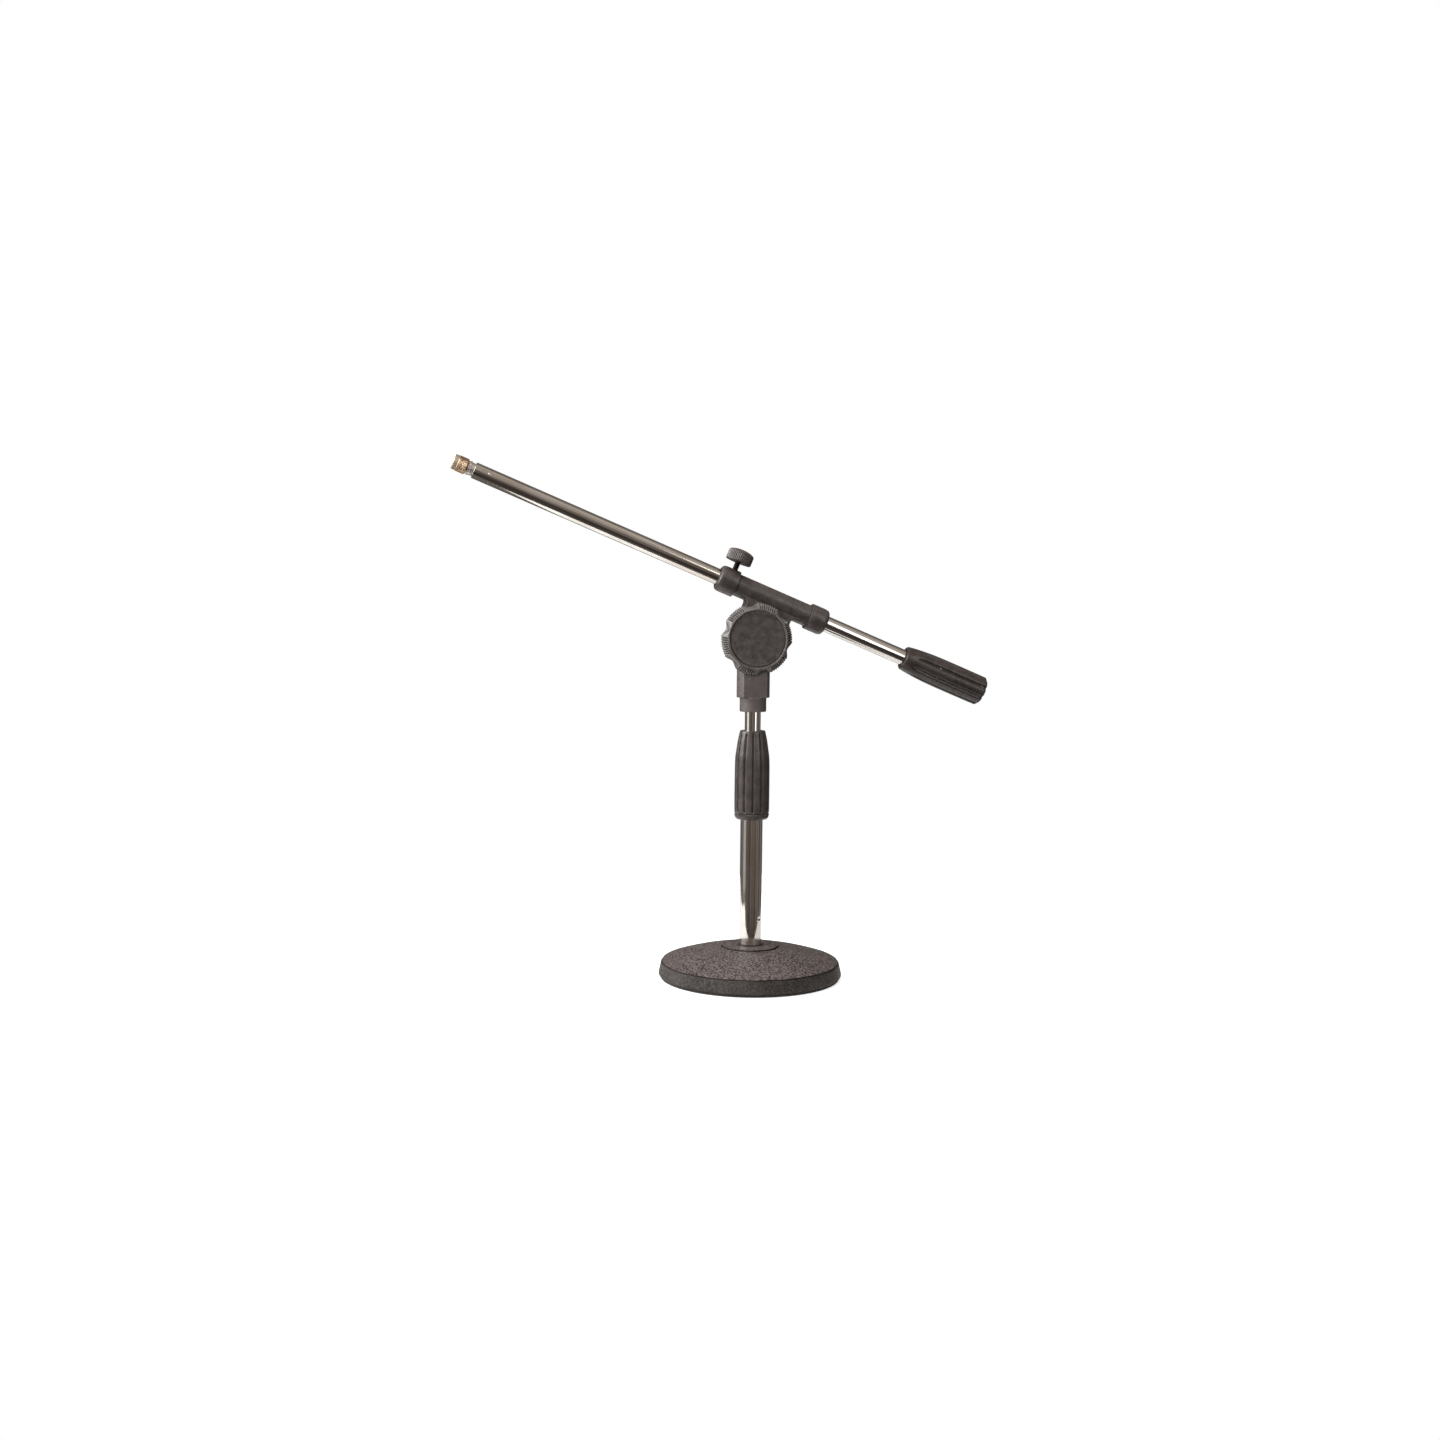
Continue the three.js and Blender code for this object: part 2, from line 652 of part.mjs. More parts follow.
function boomClamp() {
  const side = { curveSegments: 6, bevelEnabled: false, steps: 1 };
  const thin = new THREE.ExtrudeGeometry(neckOutline(), { ...side, depth: CHEEK_BACK - CHEEK_FACE })
    .rotateX(QUARTER_TURN)
    .translate(0, -CHEEK_FACE, 0);
  const thick = new THREE.ExtrudeGeometry(neckOutline(), { ...side, depth: 2 * CHEEK_BACK - 1 })
    .rotateX(QUARTER_TURN)
    .translate(0, CHEEK_BACK - 1, 0);
  const [wide, deep, below] = [90, 40, 20]; // past the neck on every side
  const low = new THREE.BoxGeometry(wide, deep, THICK_NECK_FOOT + below)
    .translate(0, 0, (THICK_NECK_FOOT - below) / 2);
  const swing = along(disc(SWING_RADIUS, -CHEEK_BACK - PAST, CHEEK_FACE), '-y');
  const barrelFront = FRONT_COLLAR[0] + COLLAR_WALL + GAP;
  const barrelRear = REAR_COLLAR[1] - COLLAR_WALL - GAP;
  const barrel = disc(BARREL_RADIUS, barrelFront, barrelRear);
  const whole = join(
    cut(thick, low, swing),
    thin,
    along(disc(CHEEK_RADIUS, CHEEK_FACE, CHEEK_BACK), '-y'),
    along(barrel, 'x').translate(0, 0, BOOM_OFFSET),
  );
  const bore = disc(BOOM_BORE, FRONT_COLLAR[0], REAR_COLLAR[1]);
  const bushSeat = disc(BUSH_RADIUS + SNUG, BUSH[0] - GAP, REAR_COLLAR[1]);
  const screwHole = disc(SCREW_BORE, BOOM_OFFSET, BOOM_OFFSET + COLLAR_RADIUS, SMALL_FACETS);
  return cut(
    whole,
    along(bore, 'x').translate(0, 0, BOOM_OFFSET),
    along(bushSeat, 'x').translate(0, 0, BOOM_OFFSET),
    along(disc(BOLT_BORE, 0, CHEEK_BACK + PAST, SMALL_FACETS), '-y'),
    screwHole.translate(SCREW_PLACE, 0, 0),
  );
}

piece(tilted, 'boom_clamp', boomClamp(), BLACK_PLASTIC);

// Inside this group +Z runs along the boom's axis to the rear.
const boom = new THREE.Group();
boom.position.z = BOOM_OFFSET;
boom.rotation.y = QUARTER_TURN;
tilted.add(boom);

// A cap over one end of the barrel, drawn with its closed end at zero and pointing down.
function endCollar(length) {
  const bore = BARREL_RADIUS + GAP;
  const round = 4;
  const rounded = corner([COLLAR_RADIUS, 0], [COLLAR_RADIUS - round, round])
    .map(([radius, height]) => [radius, round - height])
    .reverse();
  return turned([
    [BOOM_BORE, 0],
    ...rounded,
    [COLLAR_RADIUS, length],
    [bore, length],
    [bore, COLLAR_WALL],
    [BOOM_BORE, COLLAR_WALL],
    [BOOM_BORE, 0],
  ]);
}

const collarLength = FRONT_COLLAR[1] - FRONT_COLLAR[0];
// Inside the boom group the upward normal is -X.
const collarHole = along(disc(SCREW_BORE, -COLLAR_RADIUS - PAST, 0, SMALL_FACETS), 'x')
  .translate(0, 0, SCREW_PLACE);
piece(boom, 'clamp_collar_front', cut(
  endCollar(collarLength).translate(0, 0, FRONT_COLLAR[0]),
  collarHole,
), BLACK_PLASTIC);
piece(
  boom,
  'clamp_collar_rear',
  endCollar(collarLength).rotateX(Math.PI).translate(0, 0, REAR_COLLAR[1]),
  BLACK_PLASTIC,
);
piece(boom, 'boom_bush', ring(ROD_CLEARANCE, BUSH_RADIUS, ...BUSH), GREY_PLASTIC);

// ---------------------------------------------------------------- boom tube and its ends

function stakeMarks(surface) {
  const ball = 2;
  const depth = 0.5;
  const reach = surface + ball - depth;
  const angles = [60, 120, 240, 300].map(THREE.MathUtils.degToRad);
  return angles.map((angle) => new THREE.SphereGeometry(ball, 8, 6)
    .translate(reach * Math.cos(angle), reach * Math.sin(angle), STAKE_PLACE));
}

function boomTube() {
  const inner = ROD_RADIUS - TUBE_WALL;
  const [roundWidth, roundHeight] = [0.7, 0.9];
  const [burrWidth, burrHeight] = [0.4, 0.3];
  const shape = turned([
    [inner, BOOM_TIP + burrHeight],
    [inner + burrWidth, BOOM_TIP],
    ...corner([ROD_RADIUS, 0], [ROD_RADIUS - roundWidth, roundHeight], 2)
      .map(([radius, height]) => [radius, BOOM_TIP + roundHeight - height])
      .reverse(),
    [ROD_RADIUS, BOOM_REAR],
    [inner, BOOM_REAR],
    [inner, BOOM_TIP + burrHeight],
  ]);
  return cut(shape, ...stakeMarks(ROD_RADIUS));
}

const RING_FRONT = -320.8;
const RING_BACK = -318.5;
const RING_RADIUS = 7;
const TIP_NECK_RADIUS = 6.3;
const TIP_PLUG_END = -290;

function tipPlug() {
  const plugRadius = ROD_RADIUS - TUBE_WALL - SNUG;
  const studFace = ADAPTER_FACE + 0.8;
  const chamfer = 0.6;
  const shape = turned([
    [0, studFace],
    [TIP_STUD_RADIUS - chamfer, studFace],
    [TIP_STUD_RADIUS, studFace + chamfer],
    [TIP_STUD_RADIUS, RING_FRONT],
    [RING_RADIUS, RING_FRONT],
    [RING_RADIUS, RING_BACK],
    [TIP_NECK_RADIUS, RING_BACK],
    [TIP_NECK_RADIUS, BOOM_TIP - SNUG],
    [plugRadius, BOOM_TIP + chamfer],
    [plugRadius, TIP_PLUG_END],
    [0, TIP_PLUG_END],
  ]);
  return cut(shape, ...stakeMarks(ROD_RADIUS - 0.1));
}

const LIP_RADIUS = 7.3; // the plain lip in front of the thread
const LIP_LENGTH = 4;
const THREAD_END = -322.4;
const ADAPTER_NECK_RADIUS = 6.6;

function threadAdapter() {
  const bore = TIP_STUD_RADIUS + SNUG;
  const chamfer = 0.4;
  return turned([
    [bore, ADAPTER_FACE],
    [LIP_RADIUS - chamfer, ADAPTER_FACE],
    [LIP_RADIUS, ADAPTER_FACE + chamfer],
    [LIP_RADIUS, ADAPTER_FACE + LIP_LENGTH],
    [THREAD_RADIUS, ADAPTER_FACE + LIP_LENGTH + 0.5],
    [THREAD_RADIUS, THREAD_END],
    [ADAPTER_NECK_RADIUS, THREAD_END + chamfer],
    [ADAPTER_NECK_RADIUS, ADAPTER_BACK],
    [bore, ADAPTER_BACK],
    [bore, ADAPTER_FACE],
  ]);
}

const CORE_FRONT = 156;
const CORE_WIDE = 187;
const CORE_REAR = 237.5;
const CORE_RADIUS = 13;
const CORE_FRONT_RADIUS = 10.1;
const SLEEVE_RADIUS = 15;
const SLEEVE_ROUND = 2.5;
const SLEEVE_STEPS = 4; // facets for each flute
const SLEEVE_END_WALL = 2.6;

function weightCore() {
  const bore = ROD_RADIUS + SNUG;
  return turned([
    [bore, CORE_FRONT],
    [CORE_FRONT_RADIUS, CORE_FRONT],
    [CORE_RADIUS, CORE_WIDE],
    [CORE_RADIUS, CORE_REAR],
    [bore, CORE_REAR],
    [bore, CORE_FRONT],
  ]);
}

function weightSleeve() {
  const throat = ROD_RADIUS + GAP;
  const pocket = CORE_RADIUS + GAP;
  const endFace = WEIGHT_REAR - SLEEVE_END_WALL;
  const body = turned([
    [throat, WEIGHT_FRONT],
    [11.3, WEIGHT_FRONT],
    [12.1, WEIGHT_FRONT + 1],
    [14, 170],
    [SLEEVE_RADIUS, 188],
    ...corner(
      [SLEEVE_RADIUS, WEIGHT_REAR - SLEEVE_ROUND],
      [SLEEVE_RADIUS - SLEEVE_ROUND, WEIGHT_REAR],
    ),
    [0, WEIGHT_REAR],
    [0, endFace],
    [pocket, endFace],
    [pocket, CORE_WIDE],
    [CORE_FRONT_RADIUS + GAP, CORE_FRONT - GAP],
    [throat, CORE_FRONT - GAP],
    [throat, WEIGHT_FRONT],
  ], WEIGHT_LOBES * SLEEVE_STEPS);
  const fluteDepth = 0.7;
  const ridgeShare = 0.6;
  const outline = lobed(SLEEVE_RADIUS + 0.1, fluteDepth, WEIGHT_LOBES, ridgeShare, 0, 6);
  return common(body, raised(outline, WEIGHT_FRONT - PAST, WEIGHT_REAR + PAST));
}

piece(boom, 'boom_tube', boomTube(), CHROME);
piece(boom, 'tip_plug', tipPlug(), STEEL);
piece(boom, 'thread_adapter', threadAdapter(), BRASS);
piece(boom, 'counterweight_core', weightCore(), STEEL);
piece(boom, 'counterweight_sleeve', weightSleeve(), BLACK_PLASTIC);

// ---------------------------------------------------------------- thumb screw

// Inside this group +Z runs out of the collar along the screw.
const screw = new THREE.Group();
screw.position.set(SCREW_PLACE, 0, BOOM_OFFSET);
tilted.add(screw);

const PAD_FOOT = 8.15;
const SHANK_FOOT = 9.9;
const SHANK_TOP = 30;
const PRESSURE_PAD_RADIUS = 2.7;
const SHANK_FACETS = 24;
const HEAD_EDGE = 0.6;

piece(screw, 'pressure_pad', disc(PRESSURE_PAD_RADIUS, PAD_FOOT, SHANK_FOOT - GAP, SMALL_FACETS), BRASS);
piece(screw, 'lock_screw_shank', disc(SCREW_RADIUS, SHANK_FOOT, SHANK_TOP, SHANK_FACETS), BLACK_STEEL);
piece(screw, 'lock_screw_knob', cut(
  turned([
    [0, SCREW_HEAD_FOOT],
    [SCREW_HEAD_RADIUS - HEAD_EDGE, SCREW_HEAD_FOOT],
    [SCREW_HEAD_RADIUS, SCREW_HEAD_FOOT + HEAD_EDGE],
    ...corner(
      [SCREW_HEAD_RADIUS, SCREW_HEAD_SIDE - 1],
      [SCREW_HEAD_RADIUS - 1.5, SCREW_HEAD_SIDE + 0.4],
      2,
    ),
    [8, SCREW_HEAD_TOP - 0.6],
    [0, SCREW_HEAD_TOP],
  ]),
  disc(SCREW_RADIUS + SNUG, SCREW_HEAD_FOOT - PAST, SHANK_TOP + GAP, SHANK_FACETS),
), BLACK_PLASTIC);

export default stand;
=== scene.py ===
"""Boom microphone stand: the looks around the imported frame.

Shapes are drawn in millimetres in the frame of the axis that each piece turns about, and
placed by the frame's own joints. Outline points are (radius, height) or
(radius, height, rounding). The camera, the lights and the floor come last.
"""
import json
import math

import bmesh
import bpy
import numpy as np
from mathutils import Matrix, Vector


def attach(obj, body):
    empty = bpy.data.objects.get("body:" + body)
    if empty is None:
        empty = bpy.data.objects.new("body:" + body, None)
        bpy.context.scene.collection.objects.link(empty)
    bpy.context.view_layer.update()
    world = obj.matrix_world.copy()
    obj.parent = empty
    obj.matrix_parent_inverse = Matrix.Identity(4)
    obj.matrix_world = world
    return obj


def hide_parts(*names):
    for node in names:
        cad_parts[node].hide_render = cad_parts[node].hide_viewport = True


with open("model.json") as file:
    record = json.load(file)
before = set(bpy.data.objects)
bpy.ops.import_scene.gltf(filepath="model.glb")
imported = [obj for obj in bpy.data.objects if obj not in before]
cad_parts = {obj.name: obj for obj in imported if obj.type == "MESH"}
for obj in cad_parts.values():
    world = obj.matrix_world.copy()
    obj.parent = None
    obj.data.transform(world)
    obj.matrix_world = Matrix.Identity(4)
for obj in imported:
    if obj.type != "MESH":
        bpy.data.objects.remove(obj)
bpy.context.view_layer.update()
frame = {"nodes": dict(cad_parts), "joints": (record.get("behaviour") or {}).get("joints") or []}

MM = 0.001
TURN = 2 * math.pi

# ---------------- axes from the frame

JOINTS = {joint["name"]: joint for joint in frame["joints"]}


def axis_frame(origin, along, out):
    """Heights run along `along`; angle 0 faces `out`, and angles turn by the right-hand rule."""
    z = Vector(along).normalized()
    x = Vector(out)
    x = (x - x.dot(z) * z).normalized()
    y = z.cross(x)
    turned = Matrix((x, y, z)).transposed().to_4x4()
    return Matrix.Translation(Vector(origin)) @ turned @ Matrix.Scale(MM, 4)


PIVOT = Vector(JOINTS["boom_tilt"]["pos_m"])
BOOM_ALONG = Vector(JOINTS["boom_slide"]["axis"]).normalized()
BOOM_POINT = Vector(JOINTS["boom_roll"]["pos_m"])
SCREW_ALONG = Vector(JOINTS["lock_screw_turn"]["axis"]).normalized()
SCREW_POINT = Vector(JOINTS["lock_screw_turn"]["pos_m"])
BOOM_FOOT = BOOM_POINT + (PIVOT - BOOM_POINT).dot(BOOM_ALONG) * BOOM_ALONG
SCREW_FOOT = BOOM_FOOT + (SCREW_POINT - BOOM_FOOT).dot(BOOM_ALONG) * BOOM_ALONG

COLUMN = axis_frame((0, 0, 0), JOINTS["column_slide"]["axis"], (0, -1, 0))
HINGE = axis_frame(PIVOT, JOINTS["hinge_knob_turn"]["axis"], (1, 0, 0))
BOOM = axis_frame(BOOM_FOOT, BOOM_ALONG, SCREW_ALONG)
SCREW = axis_frame(SCREW_FOOT, SCREW_ALONG, BOOM_ALONG)
POST = Matrix.Translation(PIVOT) @ Matrix.Scale(MM, 4)
CLAMP = axis_frame(PIVOT, SCREW_ALONG, BOOM_ALONG)
BOOM_OFFSET = (BOOM_FOOT - PIVOT).length / MM


def in_axis(node, axis):
    """A CAD node's corners in an axis frame, in millimetres."""
    corners = np.array([v.co for v in frame["nodes"][node].data.vertices])
    back = np.array(axis.inverted())
    return corners @ back[:3, :3].T + back[:3, 3]


def span(node, axis):
    """Lowest and highest place of a CAD node along an axis."""
    heights = in_axis(node, axis)[:, 2]
    return float(heights.min()), float(heights.max())


def radii(node, axis):
    """How far each of a CAD node's corners is from an axis."""
    place = in_axis(node, axis)
    return np.hypot(place[:, 0], place[:, 1])


def reach(node, axis):
    """Largest radius of a CAD node about an axis."""
    return float(radii(node, axis).max())


def extent(node, axis):
    """A CAD node's lowest and highest place along an axis, and its largest radius."""
    return *span(node, axis), reach(node, axis)


def bore(node, axis):
    """Smallest radius of a CAD node about an axis."""
    return float(radii(node, axis).min())


# ---------------- mesh tools

SHARP_ANGLE = math.radians(38)


def soften(points, closed=False, steps=4):
    """Rounds each corner of an outline."""
    result = []
    count = len(points)
    for i, point in enumerate(points):
        here = np.array(point[:2], float)
        ends = not closed and i in (0, count - 1)
        size = point[2] if len(point) > 2 else 0.25
        if ends or size == 0:
            result.append(tuple(here))
            continue
        before = np.array(points[i - 1][:2], float) - here
        after = np.array(points[(i + 1) % count][:2], float) - here
        lengths = np.linalg.norm(before), np.linalg.norm(after)
        cut = min(size, 0.45 * lengths[0], 0.45 * lengths[1])
        start = here + before / lengths[0] * cut
        end = here + after / lengths[1] * cut
        for step in range(steps + 1):
            t = step / steps
            result.append(tuple((1 - t) ** 2 * start + 2 * t * (1 - t) * here + t * t * end))
    return result


def refine(points, step, low=-1e9, high=1e9, closed=False):
    """Splits the outline's stretches between two heights so that no piece is longer than `step`."""
    result = []
    ring = points + points[:1] if closed else points
    for (r0, h0), (r1, h1) in zip(ring, ring[1:]):
        result.append((r0, h0))
        inside = low <= min(h0, h1) and max(h0, h1) <= high
        pieces = max(1, math.ceil(math.hypot(r1 - r0, h1 - h0) / step)) if inside else 1
        for k in range(1, pieces):
            t = k / pieces
            result.append((r0 + (r1 - r0) * t, h0 + (h1 - h0) * t))
    if not closed:
        result.append(points[-1])
    return result


def curve_through(points, steps):
    """A smooth line through outline points (Catmull-Rom)."""
    pts = [np.array(p, float) for p in points]
    pts = [2 * pts[0] - pts[1]] + pts + [2 * pts[-1] - pts[-2]]
    result = []
    for a, b, c, d in zip(pts, pts[1:], pts[2:], pts[3:]):
        for k in range(steps):
            t = k / steps
            result.append(tuple(0.5 * (
                2 * b + (c - a) * t + (2 * a - 5 * b + 4 * c - d) * t ** 2
                + (3 * b - a - 3 * c + d) * t ** 3
            )))
    result.append(tuple(pts[-2]))
    return result


def linked(name, data):
    """A new object in the scene."""
    obj = bpy.data.objects.new(name, data)
    bpy.context.scene.collection.objects.link(obj)
    return obj


def used_up(obj):
    """An object's corners and faces; the object itself is removed."""
    corners = [tuple(v.co) for v in obj.data.vertices]
    faces = [tuple(p.vertices) for p in obj.data.polygons]
    bpy.data.objects.remove(obj)
    return corners, faces


def finish_mesh(name, vertices, faces, axis, body, material, replaced, slot):
    """Makes the object, stores each corner's place in its own axis, and fixes it to the frame."""
    mesh = bpy.data.meshes.new(name)
    mesh.from_pydata([tuple(v) for v in vertices], [], faces)
    own = mesh.attributes.new("own", "FLOAT_VECTOR", "POINT")
    own.data.foreach_set("vector", np.asarray(vertices, np.float32).ravel())
    mesh.transform(axis)
    bm = bmesh.new()
    bm.from_mesh(mesh)
    bmesh.ops.recalc_face_normals(bm, faces=bm.faces)
    bm.to_mesh(mesh)
    bm.free()
    mesh.shade_smooth()
    mesh.set_sharp_from_angle(angle=SHARP_ANGLE)
    mesh.materials.append(material)
    obj = linked(name, mesh)
    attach(obj, body)
    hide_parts(*replaced)


def sweep(name, axis, outline, columns, body, material, replaced, slot,
          closed=False, relief=None, cutter=None):
    """Turns an outline about an axis. `relief` moves the points: (r, h, angle) -> (r, h)."""
    radii = np.array([p[0] for p in outline])
    heights = np.array([p[1] for p in outline])
    angles = np.arange(columns) * TURN / columns
    r = np.repeat(radii[:, None], columns, 1)
    h = np.repeat(heights[:, None], columns, 1)
    a = np.repeat(angles[None, :], len(radii), 0)
    if relief:
        r, h = relief(r, h, a)
    grid = np.stack([r * np.cos(a), r * np.sin(a), h], -1)
    vertices = []
    rows = []
    for i in range(len(radii)):
        start = len(vertices)
        if radii[i] < 1e-6:
            vertices.append((0.0, 0.0, float(heights[i])))
            rows.append([start] * columns)
        else:
            vertices.extend(map(tuple, grid[i]))
            rows.append(list(range(start, start + columns)))
    if closed:
        rows.append(rows[0])
    faces = []
    for low, high in zip(rows, rows[1:]):
        for j in range(columns):
            k = (j + 1) % columns
            corners = [low[j], low[k], high[k], high[j]]
            face = list(dict.fromkeys(corners))
            if len(face) > 2:
                faces.append(face)
    if cutter is not None:
        mesh = bpy.data.meshes.new(name)
        mesh.from_pydata(vertices, [], faces)
        solid = linked(name, mesh)
        combine(solid, cutter, "DIFFERENCE")
        vertices, faces = used_up(solid)
    finish_mesh(name, vertices, faces, axis, body, material, replaced, slot)


def step_up(value, low, high):
    """Rises smoothly from 0 at `low` to 1 at `high`."""
    t = np.clip((value - low) / (high - low), 0, 1)
    return t * t * (3 - 2 * t)


def dent(r, h, angle, facing, place, size, depth):
    """Sinks a round mark into a turned surface."""
    aside = (np.mod(angle - facing + math.pi, TURN) - math.pi) * r
    away = np.hypot(aside, h - place) / size
    return r - depth * np.exp(-away ** 2 * 2) + 0.12 * depth * np.exp(-((away - 1.25) * 3) ** 2)


# ---------------- cast and moulded bodies

def loose(name, bm):
    """A plain object made from a bmesh."""
    mesh = bpy.data.meshes.new(name)
    bm.to_mesh(mesh)
    bm.free()
    return linked(name, mesh)


def prism(outline, low, high, turn=None):
    """A closed outline of (x, y) points drawn out along z, then turned by a matrix."""
    bm = bmesh.new()
    bottom = [bm.verts.new((x, y, low)) for x, y in outline]
    top = [bm.verts.new((x, y, high)) for x, y in outline]
    bm.faces.new(list(reversed(bottom)))
    bm.faces.new(top)
    for i in range(len(outline)):
        j = (i + 1) % len(outline)
        bm.faces.new((bottom[i], bottom[j], top[j], top[i]))
    if turn is not None:
        bmesh.ops.transform(bm, matrix=turn, verts=bm.verts)
    bmesh.ops.recalc_face_normals(bm, faces=bm.faces)
    return loose("tool", bm)


def circle(radius, columns, x=0.0):
    """Points round a circle whose middle is at `x`."""
    return [
        (x + radius * math.cos(TURN * i / columns), radius * math.sin(TURN * i / columns))
        for i in range(columns)
    ]


def rod(radius, low, high, turn=None, columns=96):
    """A round bar along z, turned by a matrix."""
    return prism(circle(radius, columns), low, high, turn)


def hexagon(across):
    """Corners of a hexagon, `across` wide between two opposite flats."""
    return circle(across / math.sqrt(3), 6)


def combine(base, tool, operation):
    """Joins a tool to a solid or cuts it out, and uses the tool up."""
    modifier = base.modifiers.new(operation, "BOOLEAN")
    modifier.operation = operation
    modifier.solver = "EXACT"
    modifier.object = tool
    applied(base)
    bpy.data.objects.remove(tool)


def applied(obj):
    """Bakes an object's modifiers into its mesh."""
    bpy.context.view_layer.update()
    evaluated = obj.evaluated_get(bpy.context.evaluated_depsgraph_get())
    mesh = bpy.data.meshes.new_from_object(evaluated)
    obj.modifiers.clear()
    obj.data = mesh


CELL = 0.42
SMOOTH_PASSES = 4
KEPT_SHARE = 0.5


def moulded(name, added, removed, settle, axis, body, material, replaced, slot):
    """Joins and cuts solids, then rounds every edge as a moulding has: fine cells, smoothed."""
    base = added[0]
    for tool in added[1:]:
        combine(base, tool, "UNION")
    for tool in removed:
        combine(base, tool, "DIFFERENCE")
    remesh = base.modifiers.new("cells", "REMESH")
    remesh.mode = "VOXEL"
    remesh.voxel_size = CELL
    smooth = base.modifiers.new("smooth", "SMOOTH")
    smooth.factor = 0.5
    smooth.iterations = SMOOTH_PASSES
    applied(base)
    mesh = base.data
    place = np.zeros(len(mesh.vertices) * 3)
    mesh.vertices.foreach_get("co", place)
    place = settle(place.reshape(-1, 3))
    mesh.vertices.foreach_set("co", place.ravel())
    thin = base.modifiers.new("thin", "DECIMATE")
    thin.ratio = KEPT_SHARE
    applied(base)
    finish_mesh(name, *used_up(base), axis, body, material, replaced, slot)


# ---------------- materials

class Nodes:
    """A node tree with short ways to add to it."""

    def __init__(self, tree):
        self.tree = tree

    def add(self, kind, **settings):
        node = self.tree.nodes.new(kind)
        for key, value in settings.items():
            setattr(node, key, value)
        return node

    def link(self, source, target):
        self.tree.links.new(source, target)

    def spread(self, value, low, high, to_low=0.0, to_high=1.0, kind="SMOOTHSTEP"):
        """A step of a value from `low` to `high`."""
        node = self.add("ShaderNodeMapRange", interpolation_type=kind)
        for name, number in zip(
            ("From Min", "From Max", "To Min", "To Max"), (low, high, to_low, to_high)
        ):
            node.inputs[name].default_value = number
        self.link(value, node.inputs["Value"])
        return node.outputs["Result"]

    def math(self, operation, first, second):
        node = self.add("ShaderNodeMath", operation=operation)
        for socket, value in zip(node.inputs, (first, second)):
            if isinstance(value, (int, float)):
                socket.default_value = value
            else:
                self.link(value, socket)
        return node.outputs[0]

    def bands(self, value, per_unit):
        """Noise that changes with one value only."""
        node = self.add("ShaderNodeTexNoise", noise_dimensions="1D")
        node.inputs["Scale"].default_value = per_unit
        node.inputs["Detail"].default_value = 2
        self.link(value, node.inputs["W"])
        return node.outputs["Fac"]

    def blend(self, factor, first, second):
        node = self.add("ShaderNodeMix", data_type="RGBA")
        self.link(factor, node.inputs["Factor"])
        for socket, colour in zip((node.inputs[6], node.inputs[7]), (first, second)):
            if isinstance(colour, tuple):
                socket.default_value = (*colour, 1)
            else:
                self.link(colour, socket)
        return node.outputs[2]


class Paint(Nodes):
    """A principled material built from procedural nodes."""

    def __init__(self, name, own=True):
        self.material = bpy.data.materials.new(name)
        self.material.use_nodes = True
        super().__init__(self.material.node_tree)
        self.shader = self.tree.nodes["Principled BSDF"]
        if own:
            self.place = self.add("ShaderNodeAttribute", attribute_name="own").outputs["Vector"]
        else:
            coordinates = self.add("ShaderNodeTexCoord").outputs["Object"]
            in_mm = self.add("ShaderNodeVectorMath", operation="SCALE")
            in_mm.inputs["Scale"].default_value = 1 / MM
            self.link(coordinates, in_mm.inputs[0])
            self.place = in_mm.outputs[0]

    def stretched(self, scale):
        """The piece's own coordinates, scaled along each axis."""
        mapping = self.add("ShaderNodeMapping")
        mapping.inputs["Scale"].default_value = scale
        self.link(self.place, mapping.inputs["Vector"])
        return mapping.outputs["Vector"]

    def noise(self, per_mm, detail=3.0, rough=0.5, stretch=(1, 1, 1)):
        node = self.add("ShaderNodeTexNoise")
        node.inputs["Scale"].default_value = per_mm
        node.inputs["Detail"].default_value = detail
        node.inputs["Roughness"].default_value = rough
        self.link(self.stretched(stretch), node.inputs["Vector"])
        return node.outputs["Fac"]

    def cells(self, per_mm):
        node = self.add("ShaderNodeTexVoronoi")
        node.inputs["Scale"].default_value = per_mm
        self.link(self.stretched((1, 1, 1)), node.inputs["Vector"])
        return node.outputs["Distance"]

    def edges(self, low=0.52, high=0.62):
        """1 on sharp outer edges, 0 elsewhere."""
        geometry = self.add("ShaderNodeNewGeometry")
        return self.spread(geometry.outputs["Pointiness"], low, high)

    def hollows(self):
        """1 at the bottom of grooves and inner corners, 0 elsewhere."""
        return self.edges(0.492, 0.43)

    def radius(self):
        """Distance from the piece's own axis."""
        flat = self.add("ShaderNodeVectorMath", operation="MULTIPLY")
        flat.inputs[1].default_value = (1, 1, 0)
        self.link(self.place, flat.inputs[0])
        length = self.add("ShaderNodeVectorMath", operation="LENGTH")
        self.link(flat.outputs[0], length.inputs[0])
        return length.outputs["Value"]

    def height(self):
        """Place along the piece's own axis."""
        split = self.add("ShaderNodeSeparateXYZ")
        self.link(self.place, split.inputs[0])
        return split.outputs["Z"]

    def bump(self, value, distance_mm, strength, under=None):
        node = self.add("ShaderNodeBump")
        node.inputs["Strength"].default_value = strength
        node.inputs["Distance"].default_value = distance_mm * MM
        self.link(value, node.inputs["Height"])
        if under is not None:
            self.link(under, node.inputs["Normal"])
        return node.outputs["Normal"]

    def set(self, **values):
        for name, value in values.items():
            socket = self.shader.inputs[name.replace("_", " ")]
            if isinstance(value, (int, float)):
                socket.default_value = value
            elif isinstance(value, tuple):
                socket.default_value = (*value, 1)
            else:
                self.link(value, socket)
        return self.material


